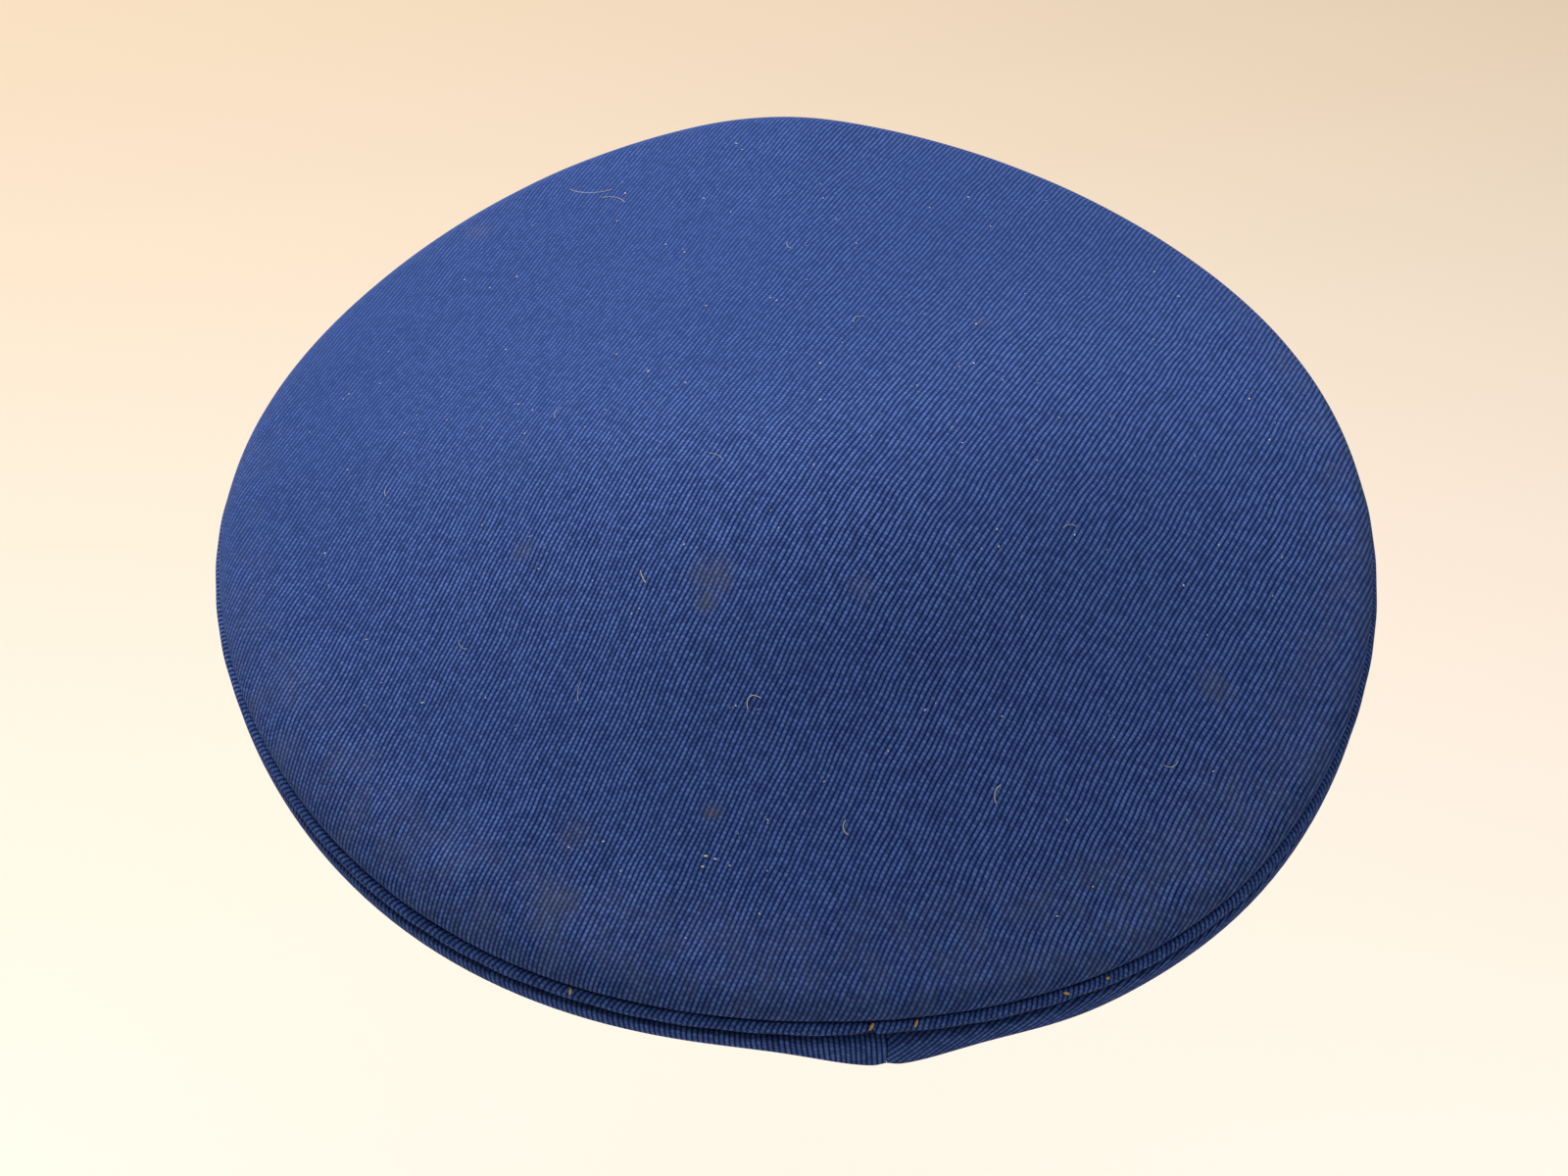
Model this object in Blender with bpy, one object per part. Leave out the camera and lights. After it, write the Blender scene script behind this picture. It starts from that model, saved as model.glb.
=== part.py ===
"""Peaked uniform cap: wired crown, four quarters, band, visor, chin strap and side buttons.

Units are metres. +Z is up, -Y is the front (visor side) and +X is the wearer's left.
The origin is the centre of the head opening, on the lower edge of the band.
Angles round the cap start at the front and grow towards +X.
"""

import math

import bmesh
import bpy
from mathutils import Matrix, Vector

MM = 0.001
BACK = math.pi
STEP = math.radians(7.5)
ROUND = [k * STEP for k in range(48)]

# Head opening and band, as half-axes (across, front to back) of concentric ovals
SWEATBAND_OUTER = (82.6 * MM, 100.1 * MM)
SWEATBAND_WALL = 1.1 * MM
SWEATBAND_HEIGHT = 38 * MM
REED_OVAL = (84.2 * MM, 101.7 * MM)
REED_RADIUS = 1.0 * MM
STIFFENER_OUTER = (87.4 * MM, 104.9 * MM)
STIFFENER_WALL = 1.2 * MM
BAND_OUTER = (88.7 * MM, 106.2 * MM)
BAND_WALL = 1.0 * MM
BAND_HEIGHT = 43 * MM

# Crown
CROWN_RADIUS = 139.3 * MM  # mean, to the outside of the piping
CROWN_SPREAD = 0.85 * MM   # wider across, narrower front to back
RIM_LEVEL = 58 * MM        # mean height of the piping
# Cosine and sine waves round the rim, by their number: the first tips the crown back and
# to the left, and the others are the bends of a wire that is a little out of flat
RIM_WAVES = {
    1: (28.5 * MM, -1.7 * MM),
    2: (-0.3 * MM, -2.4 * MM),
    3: (0.4 * MM, 0.55 * MM),
    4: (2.3 * MM, -0.5 * MM),
}
DOME_TOP = 100 * MM
CLOTH = 1.2 * MM
PIPING_RADIUS = 1.5 * MM
ROLL_RADIUS = 3.0 * MM     # the top cloth rolls over the edge
ROLL_CENTRE = (4.1 * MM, 4.2 * MM)
QUARTER_DROP = 6.8 * MM    # upright face of the quarters below the piping
QUARTER_INSET = 1.5 * MM   # of its fold and of its upper edge
QUARTER_TUCK = 4.0 * MM    # how far the cloth turns in below its fold
QUARTER_FOOT = (90.2 * MM, 107.7 * MM)
QUARTER_FOOT_HEIGHT = 45.2 * MM
SEAM_HALF_GAP = math.radians(0.1)
# Places where the edge is out of true, as (height, angle, half width): the front stay pushes
# the front up, and the back seam and the slack cloth on its right hang lower
FRONT_PEAK = (1.9 * MM, math.radians(-6), math.radians(12))
SEAM_SAG = (5.2 * MM, BACK, math.radians(8))
SIDE_SAG = (1.4 * MM, math.radians(198), math.radians(9))

# Inside the crown, with places on the edge's section as (inward, up)
INTERLINING_DEPTH = 2.2 * MM
INTERLINING_WALL = 1.0 * MM
EDGE_ROLL = (5.3 * MM, 3.2 * MM)
EDGE_ROLL_RADIUS = 1.9 * MM
WIRE_PLACE = (5.2 * MM, -2.2 * MM)
WIRE_RADIUS = 1.0 * MM
WIRE_HALF_GAP = math.radians(0.15)
FERRULE_RADII = (1.9 * MM, 1.4 * MM)
FERRULE_STEP = math.radians(2.3)
STAY_DEPTH = 2.0 * MM      # of the fibre stay below the face of the front quarters
STAY_WALL = 0.8 * MM
STAY_SPRING_DEPTH = 3.5 * MM
STAY_SPRING_WALL = 0.5 * MM
STAY_SPRING_STEP = math.radians(1.3)

# Lining
LINING_WALL = 0.5 * MM
LINING_SIDE_OUTER = (84.9 * MM, 102.4 * MM)
LINING_TOP_OUTER = (85.6 * MM, 103.1 * MM)
LINING_DEPTH = 5.0 * MM
LINING_SIDE_DEPTH = LINING_DEPTH + 1.2 * MM
LINING_SIDE_LOW = 34 * MM
SHIELD_DEPTH = LINING_DEPTH + 1.6 * MM
SHIELD_WALL = 0.35 * MM

# Sewn to the inside of the sweatband
BOW_BACK = 97.7 * MM
BOW_HEIGHT = 9 * MM
BOW_THICK = 0.8 * MM
TAG_OVAL = (81.1 * MM, 98.6 * MM)
TAG_HEIGHTS = (24 * MM, 12 * MM)
TAG_WALL = 0.4 * MM

# Visor
VISOR_ROOT = (89.2 * MM, 106.7 * MM)
VISOR_ROOT_HEIGHT = 2 * MM
VISOR_STATIONS = 9         # each side of the centre, one every STEP
VISOR_REACH = 47.5 * MM
VISOR_END_REACH = 4 * MM
VISOR_SLOPE = math.radians(33)
VISOR_SIDE_SLOPE = math.radians(10)
VISOR_CAMBER = 1.8 * MM
VISOR_THICK = 1.8 * MM
VISOR_LINING_THICK = 0.8 * MM
GAP = 0.3 * MM
BINDING_LEG = 3.0 * MM
BINDING_WALL = 0.6 * MM
BINDING_CLEARANCE = 0.4 * MM

# Chin strap and buttons
STRAP_HEIGHT = 12 * MM
STRAP_HALF_WIDTH = 7 * MM
STRAP_THICK = 1.4 * MM
STRAP_STANDOFF = 2.6 * MM
STRAP_LAYER_GAP = 0.4 * MM
STRAP_STEP = 4             # degrees
STRAP_INNER_END = 44
STRAP_TIP = 76
STRAP_TAPER = 68           # degrees, from where the tip narrows
EYE_RADIUS = 2.4 * MM
BUTTON_ANGLE = math.radians(70)
SLIDER_ANGLE = math.radians(38)
SLIDER_WALL = 0.7 * MM
SLIDER_CLEARANCE = 0.4 * MM
SLIDER_WIDTH = 6 * MM
BUTTON_RADIUS = 7.5 * MM
BUTTON_DOME = 3.4 * MM
BUTTON_RIM = 1.2 * MM
SHANK_RADIUS = 1.5 * MM
SHANK_END = -5.6 * MM      # heights from here on are measured out of the band's face
PIN_HEIGHT = -4.25 * MM
PIN_SIZE = (1.3 * MM, 14 * MM, 0.9 * MM)
PIN_SLOT = (1.9 * MM, 6 * MM, 1.5 * MM)
BAND_HOLE_RADIUS = 2.1 * MM
WASHER_RADII = (1.9 * MM, 4.5 * MM)
WASHER_HEIGHTS = (-2.8 * MM, -3.3 * MM)

BLUE = (0.034, 0.062, 0.190)
MATERIALS = {
    "twill": (BLUE, 0.85, 0.0),
    "canvas": ((0.42, 0.36, 0.25), 0.9, 0.0),
    "wadding": ((0.62, 0.60, 0.55), 0.95, 0.0),
    "steel": ((0.45, 0.46, 0.48), 0.35, 1.0),
    "fibre": ((0.10, 0.07, 0.045), 0.7, 0.0),
    "leather": ((0.20, 0.085, 0.03), 0.5, 0.0),
    "reed": ((0.55, 0.50, 0.38), 0.4, 0.0),
    "satin": ((0.34, 0.35, 0.37), 0.45, 0.0),
    "clear": ((0.80, 0.82, 0.84), 0.15, 0.0),
    "label": ((0.75, 0.74, 0.70), 0.8, 0.0),
    "lacquer": ((0.008, 0.008, 0.010), 0.12, 0.0),
    "visor_cloth": ((0.015, 0.05, 0.03), 0.7, 0.0),
    "brass": ((0.72, 0.50, 0.18), 0.25, 1.0),
}


def clear_scene():
    for obj in list(bpy.data.objects):
        bpy.data.objects.remove(obj, do_unlink=True)


def make_materials():
    made = {}
    for name, (colour, roughness, metallic) in MATERIALS.items():
        material = bpy.data.materials.new(name)
        material.use_nodes = True
        shader = material.node_tree.nodes["Principled BSDF"]
        shader.inputs["Base Color"].default_value = (*colour, 1)
        shader.inputs["Roughness"].default_value = roughness
        shader.inputs["Metallic"].default_value = metallic
        made[name] = material
    return made


# ---- shapes of the cap ----


def on_oval(angle, half_axes, height):
    return Vector((half_axes[0] * math.sin(angle), -half_axes[1] * math.cos(angle), height))


def oval_normal(angle, half_axes):
    return Vector((math.sin(angle) / half_axes[0], -math.cos(angle) / half_axes[1], 0)).normalized()


def grown(half_axes, by):
    return half_axes[0] + by, half_axes[1] + by


def bump(angle, place):
    """A smooth rise round one angle, from a (height, angle, half width)."""
    height, centre, half_width = place
    away = (angle - centre + math.pi) % (2 * math.pi) - math.pi
    return height * math.exp(-((away / half_width) ** 2))


def rim_height(angle):
    waves = sum(
        cosine * math.cos(n * angle) + sine * math.sin(n * angle)
        for n, (cosine, sine) in RIM_WAVES.items()
    )
    return RIM_LEVEL + waves + bump(angle, FRONT_PEAK)


def at_rim(angle, inward, up):
    """A point of the crown edge's section: inward from the rim and up from the piping."""
    radius = CROWN_RADIUS - CROWN_SPREAD * math.cos(2 * angle) - inward
    return Vector((radius * math.sin(angle), -radius * math.cos(angle), rim_height(angle) + up))


def roll_point(angle, turn):
    return at_rim(
        angle,
        ROLL_CENTRE[0] - ROLL_RADIUS * math.sin(turn),
        ROLL_CENTRE[1] + ROLL_RADIUS * math.cos(turn),
    )


ROLL_START = math.radians(30)
DOME_RADIUS = CROWN_RADIUS - ROLL_CENTRE[0] + ROLL_RADIUS * math.sin(ROLL_START)
DOME_EDGE = (DOME_RADIUS + CROWN_SPREAD, DOME_RADIUS - CROWN_SPREAD)


def dome_height(x, y):
    """The top cloth: a round head pushes up the middle, and the cloth runs straight to the edge."""
    angle = math.atan2(x, -y)
    out = math.hypot(x / DOME_EDGE[0], y / DOME_EDGE[1])
    share = 1 - 4 / 3 * out * out if out < 0.5 else 4 / 3 * (1 - out)
    edge = roll_point(angle, ROLL_START).z
    return edge + (DOME_TOP - edge) * share


def dome_point(angle, out, half_axes, depth):
    flat = on_oval(angle, half_axes, 0) * out
    return Vector((flat.x, flat.y, dome_height(flat.x, flat.y) - depth))


def quarter_drop(angle):
    return QUARTER_DROP + bump(angle, SEAM_SAG) + bump(angle, SIDE_SAG)


def quarter_point(angle, along, depth=0.0):
    """A point of the quarter from its fold (0) to the band (1), at a depth inside the cloth's face."""
    fold = at_rim(angle, QUARTER_INSET, -quarter_drop(angle))
    foot = on_oval(angle, QUARTER_FOOT, QUARTER_FOOT_HEIGHT)
    fall = max(1.5 * MM, 0.3 * (fold.z - foot.z))
    control = at_rim(angle, QUARTER_INSET + QUARTER_TUCK, -quarter_drop(angle) - fall)
    back = 1 - along
    point = fold * back * back + control * (2 * along * back) + foot * along * along
    slope = (control - fold) * back + (foot - control) * along
    outward = Vector((fold.x - foot.x, fold.y - foot.y, 0)).normalized()
    face = (Vector((0, 0, slope.dot(outward))) - outward * slope.z).normalized()
    return point - face * depth


# ---- builders ----


def finish(name, mesh, material, smooth=35):
    mesh.materials.append(material)
    mesh.shade_smooth()
    mesh.set_sharp_from_angle(angle=math.radians(smooth))
    obj = bpy.data.objects.new(name, mesh)
    bpy.context.scene.collection.objects.link(obj)
    return obj


def mesh_from(bm, name, closed=True):
    if closed:
        bmesh.ops.recalc_face_normals(bm, faces=bm.faces)
    mesh = bpy.data.meshes.new(name)
    bm.to_mesh(mesh)
    bm.free()
    return mesh


def join_rows(bm, rows, wrap):
    """Quads between neighbouring rows of vertices. wrap closes the last row onto the first."""
    pairs = list(zip(rows, rows[1:]))
    if wrap:
        pairs.append((rows[-1], rows[0]))
    for first, second in pairs:
        for k in range(len(first) - 1):
            bm.faces.new((first[k], first[k + 1], second[k + 1], second[k]))


def sheet(name, rows, wall, material, wrap=False, pole=None):
    """A sheet thickened inwards, from rows that run down the outside, side by side with growing angle."""
    bm = bmesh.new()
    made = [[bm.verts.new(point) for point in row] for row in rows]
    join_rows(bm, made, wrap)
    if pole is not None:
        middle = bm.verts.new(pole)
        for first, second in zip(made, made[1:] + made[:1]):
            bm.faces.new((middle, first[0], second[0]))
    obj = finish(name, mesh_from(bm, name, closed=False), material)
    solid = obj.modifiers.new("wall", "SOLIDIFY")
    solid.thickness = wall
    solid.offset = -1
    solid.use_even_offset = True
    return obj


def loft(name, sections, material, wrap=False):
    """Closed sections joined in order, with end caps unless they wrap round."""
    bm = bmesh.new()
    made = [[bm.verts.new(point) for point in section] for section in sections]
    join_rows(bm, [row + row[:1] for row in made], wrap)
    if not wrap:
        bm.faces.new(made[0])
        bm.faces.new(made[-1][::-1])
    return finish(name, mesh_from(bm, name), material)


def tube(name, points, radius, material, cyclic=False, sides=6):
    curve = bpy.data.curves.new(name, "CURVE")
    curve.dimensions = "3D"
    curve.bevel_depth = radius
    curve.bevel_resolution = (sides - 4) // 2
    curve.use_fill_caps = not cyclic
    spline = curve.splines.new("POLY")
    spline.points.add(len(points) - 1)
    spline.points.foreach_set("co", [v for point in points for v in (*point, 1)])
    spline.use_cyclic_u = cyclic
    curve.materials.append(material)
    obj = bpy.data.objects.new(name, curve)
    bpy.context.scene.collection.objects.link(obj)
    return obj


def facing(point, normal):
    """A frame at point whose Z runs out of the cap and whose Y is up."""
    across = Vector((0, 0, 1)).cross(normal).normalized()
    turn = Matrix((across, normal.cross(across), normal)).transposed()
    return Matrix.Translation(point) @ turn.to_4x4()


def turned(name, profile, place, material, steps=24):
    """A profile of (radius, height) points turned about its place's Z. Its ends lie on the axis or meet."""
    bm = bmesh.new()
    points = [bm.verts.new((radius, 0, height)) for radius, height in profile]
    edges = [bm.edges.new(pair) for pair in zip(points, points[1:])]
    bmesh.ops.spin(
        bm, geom=points + edges, axis=(0, 0, 1), cent=(0, 0, 0), steps=steps, angle=2 * math.pi
    )
    bmesh.ops.remove_doubles(bm, verts=bm.verts, dist=1e-6)
    bmesh.ops.transform(bm, matrix=place, verts=bm.verts)
    return finish(name, mesh_from(bm, name), material)


def block(name, size, place, material, bevel=0.0):
    bm = bmesh.new()
    bmesh.ops.create_cube(bm, size=1)
    bmesh.ops.transform(bm, matrix=place @ Matrix.Diagonal((*size, 1)), verts=bm.verts)
    obj = finish(name, mesh_from(bm, name), material)
    if bevel:
        rounding = obj.modifiers.new("rounding", "BEVEL")
        rounding.width = bevel
        rounding.segments = 2
    return obj


def cut(obj, cutter):
    cutter.hide_render = True
    cutter.display_type = "WIRE"
    boolean = obj.modifiers.new("cut_" + cutter.name, "BOOLEAN")
    boolean.object = cutter
    boolean.operation = "DIFFERENCE"


def pivot(name, point, parent=None):
    empty = bpy.data.objects.new(name, None)
    empty.empty_display_size = 10 * MM
    bpy.context.scene.collection.objects.link(empty)
    empty.matrix_world = Matrix.Translation(point)
    if parent:
        hang(empty, parent)
    return empty


def hang(child, parent):
    bpy.context.view_layer.update()
    child.parent = parent
    child.matrix_parent_inverse = parent.matrix_world.inverted()


def band(name, half_axes, low, high, wall, material):
    rows = [[on_oval(a, half_axes, high), on_oval(a, half_axes, low)] for a in ROUND]
    return sheet(name, rows, wall, material, wrap=True)


# ---- sub-parts ----


def make_crown(mat):
    rings = [0.18, 0.36, 0.54, 0.72, 0.86, 1.0]
    turns = [math.radians(turn) for turn in (70, 105, 140)]
    rows = [
        [dome_point(a, out, DOME_EDGE, 0) for out in rings] + [roll_point(a, turn) for turn in turns]
        for a in ROUND
    ]
    sheet("crown_top", rows, CLOTH, mat["twill"], wrap=True, pole=(0, 0, DOME_TOP))

    inner_rings = rings[:-1] + [0.95]
    rows = [[dome_point(a, out, DOME_EDGE, INTERLINING_DEPTH) for out in inner_rings] for a in ROUND]
    top = (0, 0, DOME_TOP - INTERLINING_DEPTH)
    sheet("crown_interlining", rows, INTERLINING_WALL, mat["canvas"], wrap=True, pole=top)

    ends = [BACK + WIRE_HALF_GAP] + [a + BACK for a in ROUND[1:]] + [3 * BACK - WIRE_HALF_GAP]
    piping = [at_rim(a, PIPING_RADIUS, 0) for a in ends]
    tube("crown_piping", piping, PIPING_RADIUS, mat["twill"])
    roll = [at_rim(a, *EDGE_ROLL) for a in ROUND]
    tube("edge_roll", roll, EDGE_ROLL_RADIUS, mat["wadding"], cyclic=True)
    wire = [at_rim(a, *WIRE_PLACE) for a in ends]
    tube("crown_wire", wire, WIRE_RADIUS, mat["steel"])
    make_ferrule(mat["steel"])


def make_ferrule(material):
    """An open sleeve over the two ends of the wire: its outer rings, then its bore's rings back again."""
    bm = bmesh.new()
    rows = []
    for radius, turns in zip(FERRULE_RADII, (range(-2, 3), range(2, -3, -1))):
        for k in turns:
            angle = BACK + k * FERRULE_STEP
            outward = Vector((math.sin(angle), -math.cos(angle), 0))
            ring = []
            for n in range(10):
                s = n * math.pi / 5
                spoke = outward * math.cos(s) + Vector((0, 0, math.sin(s)))
                ring.append(bm.verts.new(at_rim(angle, *WIRE_PLACE) + spoke * radius))
            rows.append(ring + ring[:1])
    join_rows(bm, rows, wrap=True)
    finish("wire_ferrule", mesh_from(bm, "wire_ferrule"), material)


def make_quarters(mat):
    names = ("front_left_quarter", "rear_left_quarter", "rear_right_quarter", "front_right_quarter")
    for k, name in enumerate(names):
        start = k * math.pi / 2
        angles = [start + n * STEP for n in range(13)]
        angles[0] += SEAM_HALF_GAP
        angles[-1] -= SEAM_HALF_GAP
        rows = []
        for a in angles:
            rows.append(
                [at_rim(a, QUARTER_INSET, -2.0 * MM), at_rim(a, 1.0 * MM, -0.65 * quarter_drop(a))]
                + [quarter_point(a, along) for along in (0, 0.25, 0.5, 0.75, 1)]
            )
        sheet(name, rows, CLOTH, mat["twill"])


def make_front_stay(mat):
    angles = [k * STEP for k in (-2, -1, 0, 1, 2)]
    shares = (0.15, 0.4, 0.65, 0.9)
    rows = [[quarter_point(a, along, STAY_DEPTH) for along in shares] for a in angles]
    sheet("front_stay", rows, STAY_WALL, mat["fibre"])
    angles = [k * STAY_SPRING_STEP for k in (-1, 0, 1)]
    shares = (0.1, 0.35, 0.6, 0.85, 0.97)
    rows = [[quarter_point(a, along, STAY_SPRING_DEPTH) for along in shares] for a in angles]
    sheet("front_stay_spring", rows, STAY_SPRING_WALL, mat["steel"])


def make_lining(mat):
    rings = [0.2, 0.4, 0.6, 0.8, 1.0]
    rows = [[dome_point(a, out, LINING_TOP_OUTER, LINING_DEPTH) for out in rings] for a in ROUND]
    top = (0, 0, DOME_TOP - LINING_DEPTH)
    sheet("lining_top", rows, LINING_WALL, mat["satin"], wrap=True, pole=top)

    rows = []
    for a in ROUND:
        high = dome_point(a, 1, LINING_SIDE_OUTER, LINING_SIDE_DEPTH)
        foot = on_oval(a, LINING_SIDE_OUTER, LINING_SIDE_LOW)
        rows.append([high, foot.lerp(high, 0.5), foot])
    sheet("lining_side", rows, LINING_WALL, mat["satin"], wrap=True)

    rows = [[dome_point(a, out, LINING_TOP_OUTER, SHIELD_DEPTH) for out in rings[:3]] for a in ROUND]
    top = (0, 0, DOME_TOP - SHIELD_DEPTH)
    sheet("sweat_shield", rows, SHIELD_WALL, mat["clear"], wrap=True, pole=top)


def make_band(mat):
    band("cap_band", BAND_OUTER, 0, BAND_HEIGHT, BAND_WALL, mat["twill"])
    band("band_stiffener", STIFFENER_OUTER, 0.8 * MM, 42.2 * MM, STIFFENER_WALL, mat["fibre"])
    band("sweatband", SWEATBAND_OUTER, 0, SWEATBAND_HEIGHT, SWEATBAND_WALL, mat["leather"])
    reed = [on_oval(a, REED_OVAL, 1.3 * MM) for a in ROUND]
    tube("sweatband_reed", reed, REED_RADIUS, mat["reed"], cyclic=True)
    cord = [on_oval(a, BAND_OUTER, BAND_HEIGHT + 1.5 * MM) for a in ROUND]
    tube("band_top_piping", cord, 1.1 * MM, mat["twill"], cyclic=True)
    for side in (1, -1):
        place = button_place(side)
        cutter = turned(
            f"band_hole_cutter_{side}",
            [(0, -4 * MM), (BAND_HOLE_RADIUS, -4 * MM), (BAND_HOLE_RADIUS, 1.5 * MM), (0, 1.5 * MM)],
            place, mat["steel"],
        )
        cut(bpy.data.objects["cap_band"], cutter)
        cut(bpy.data.objects["band_stiffener"], cutter)


def make_sweatband_trim(mat):
    half_outline = [(0, 1.0), (3, 3.2), (9, 3.6), (8, 0), (9, -3.6), (3, -3.2), (0, -1.0)]
    outline = half_outline + [(-x, z) for x, z in half_outline[-2:0:-1]]
    sections = [
        [Vector((x * MM, y, BOW_HEIGHT + z * MM)) for x, z in outline]
        for y in (BOW_BACK, BOW_BACK - BOW_THICK)
    ]
    loft("sweatband_bow", sections, mat["leather"])
    angles = [math.radians(a) for a in (140, 144, 148, 152)]
    rows = [[on_oval(a, TAG_OVAL, height) for height in TAG_HEIGHTS] for a in angles]
    sheet("size_tag", rows, TAG_WALL, mat["label"])


def visor_station(angle):
    """(root point, unit step outwards, reach) of the visor at this angle."""
    share = abs(angle) / (VISOR_STATIONS * STEP)
    reach = VISOR_END_REACH + VISOR_REACH * (1 - share**2.4) ** 0.8
    slope = VISOR_SLOPE + VISOR_SIDE_SLOPE * share * share
    ahead = Vector((0.55 * math.sin(angle), -math.cos(angle), 0)).normalized()
    step = ahead * math.cos(slope) - Vector((0, 0, math.sin(slope)))
    return on_oval(angle, VISOR_ROOT, VISOR_ROOT_HEIGHT), step, reach


def make_visor(mat):
    angles = [k * STEP for k in range(-VISOR_STATIONS, VISOR_STATIONS + 1)]
    shares = (0, 0.25, 0.5, 0.75, 1)
    down = Vector((0, 0, -1))
    layers = (
        ("visor_shell", 0, VISOR_THICK, "lacquer"),
        ("visor_lining", VISOR_THICK + GAP, VISOR_LINING_THICK, "visor_cloth"),
    )
    for name, depth, thick, finish_name in layers:
        sections = []
        for a in angles:
            root, step, reach = visor_station(a)
            camber = VISOR_CAMBER * reach / VISOR_REACH
            top = [root + step * reach * s - down * camber * math.sin(math.pi * s) for s in shares]
            sections.append(
                [point + down * depth for point in top]
                + [point + down * (depth + thick) for point in top[::-1]]
            )
        loft(name, sections, mat[finish_name])

    near, far = BINDING_CLEARANCE, BINDING_CLEARANCE + BINDING_WALL
    below = -(VISOR_THICK + GAP + VISOR_LINING_THICK)
    profile = (
        (-BINDING_LEG, far), (far, far), (far, below - far), (-BINDING_LEG, below - far),
        (-BINDING_LEG, below - near), (near, below - near), (near, near), (-BINDING_LEG, near),
    )
    sections = []
    for a in angles:
        root, step, reach = visor_station(a)
        edge = root + step * reach
        sections.append([edge + step * out - down * up for out, up in profile])
    loft("visor_binding", sections, mat["lacquer"])


def strap_offset(degrees, layer):
    """Stand-off of a strap's outer face. The outer layer comes in to the band beyond the inner one."""
    inner = STRAP_STANDOFF + STRAP_THICK
    if layer == "inner":
        return inner
    share = min(max((degrees + 60) / 10, 0), 1)
    return inner + (STRAP_THICK + STRAP_LAYER_GAP) * share * share * (3 - 2 * share)


def strap_half_width(degrees):
    """Half width at an angle counted towards the strap's own tip, which is rounded."""
    past_eye = max(degrees - STRAP_TAPER, 0) / (STRAP_TIP - STRAP_TAPER)
    return STRAP_HALF_WIDTH * math.sqrt(1 - 0.75 * past_eye * past_eye)


def make_strap(mat):
    lift = pivot("strap_lift_axis", Vector((0, on_oval(BUTTON_ANGLE, BAND_OUTER, 0).y, STRAP_HEIGHT)))
    for name, layer, side in (("strap_left", "inner", 1), ("strap_right", "outer", -1)):
        rows = []
        low, high = sorted((-side * STRAP_INNER_END, side * STRAP_TIP))
        for degrees in range(low, high + 1, STRAP_STEP):
            half_axes = grown(BAND_OUTER, strap_offset(degrees, layer))
            half = strap_half_width(degrees * side)
            angle = math.radians(degrees)
            rows.append([on_oval(angle, half_axes, STRAP_HEIGHT + z * half) for z in (1, -1)])
        strap = sheet(name, rows, STRAP_THICK, mat["lacquer"])
        eye = turned(
            f"eye_cutter_{side}",
            [(0, 1.5 * MM), (EYE_RADIUS, 1.5 * MM), (EYE_RADIUS, 6 * MM), (0, 6 * MM)],
            button_place(side), mat["steel"],
        )
        cut(strap, eye)
        hang(strap, lift)
    return lift


def curvature_centre(angle):
    """Centre of the circle that fits the strap's path at this angle."""
    a, b = grown(BAND_OUTER, STRAP_STANDOFF + STRAP_THICK)
    radius = (a * a * math.cos(angle) ** 2 + b * b * math.sin(angle) ** 2) ** 1.5 / (a * b)
    return on_oval(angle, (a, b), STRAP_HEIGHT) - oval_normal(angle, (a, b)) * radius


def make_sliders(mat, lift):
    low = STRAP_STANDOFF - SLIDER_CLEARANCE
    high = STRAP_STANDOFF + 2 * STRAP_THICK + STRAP_LAYER_GAP + SLIDER_CLEARANCE
    bore = (SLIDER_WIDTH * 2, 2 * (STRAP_HALF_WIDTH + SLIDER_CLEARANCE), high - low)
    size = (SLIDER_WIDTH, bore[1] + 2 * SLIDER_WALL, bore[2] + 2 * SLIDER_WALL)
    for name, side in (("left_slider", 1), ("right_slider", -1)):
        angle = side * SLIDER_ANGLE
        normal = oval_normal(angle, BAND_OUTER)
        place = facing(on_oval(angle, BAND_OUTER, STRAP_HEIGHT) + normal * (low + high) / 2, normal)
        slider = block(name, size, place, mat["brass"])
        cut(slider, block(name + "_cutter", bore, place, mat["brass"]))
        hang(slider, pivot(name + "_axis", curvature_centre(angle), lift))


def button_place(side):
    angle = side * BUTTON_ANGLE
    normal = oval_normal(angle, BAND_OUTER)
    return facing(on_oval(angle, BAND_OUTER, STRAP_HEIGHT), normal)


def make_buttons(mat):
    base = STRAP_STANDOFF + STRAP_THICK + 0.4 * MM
    rim = base + BUTTON_RIM
    rises = [k * math.pi / 10 for k in range(4, -1, -1)]
    dome = [(BUTTON_RADIUS * math.cos(t), rim + BUTTON_DOME * math.sin(t)) for t in rises]
    foot = [
        (BUTTON_RADIUS - 0.6 * MM, base), (SHANK_RADIUS, base), (SHANK_RADIUS, SHANK_END),
        (0, SHANK_END),
    ]
    (inner, outer), (above, below) = WASHER_RADII, WASHER_HEIGHTS
    washer = [(inner, above), (outer, above), (outer, below), (inner, below), (inner, above)]
    for name, side in (("left", 1), ("right", -1)):
        place = button_place(side)
        profile = [(0, rim + BUTTON_DOME)] + dome + foot
        button = turned(f"{name}_button", profile, place, mat["brass"])
        at_pin = place @ Matrix.Translation((0, 0, PIN_HEIGHT))
        cut(button, block(f"{name}_slot_cutter", PIN_SLOT, at_pin, mat["steel"]))
        pin = block(f"{name}_split_pin", PIN_SIZE, at_pin, mat["steel"])
        axis = pivot(f"{name}_button_axis", place.translation)
        hang(button, axis)
        hang(pin, axis)
        turned(f"{name}_washer", washer, place, mat["steel"])


def main():
    clear_scene()
    mat = make_materials()
    make_crown(mat)
    make_quarters(mat)
    make_front_stay(mat)
    make_lining(mat)
    make_band(mat)
    make_sweatband_trim(mat)
    make_visor(mat)
    lift = make_strap(mat)
    make_sliders(mat, lift)
    make_buttons(mat)


main()
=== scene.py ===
import math

import bpy
import numpy as np
from mathutils import Matrix, Vector


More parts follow.
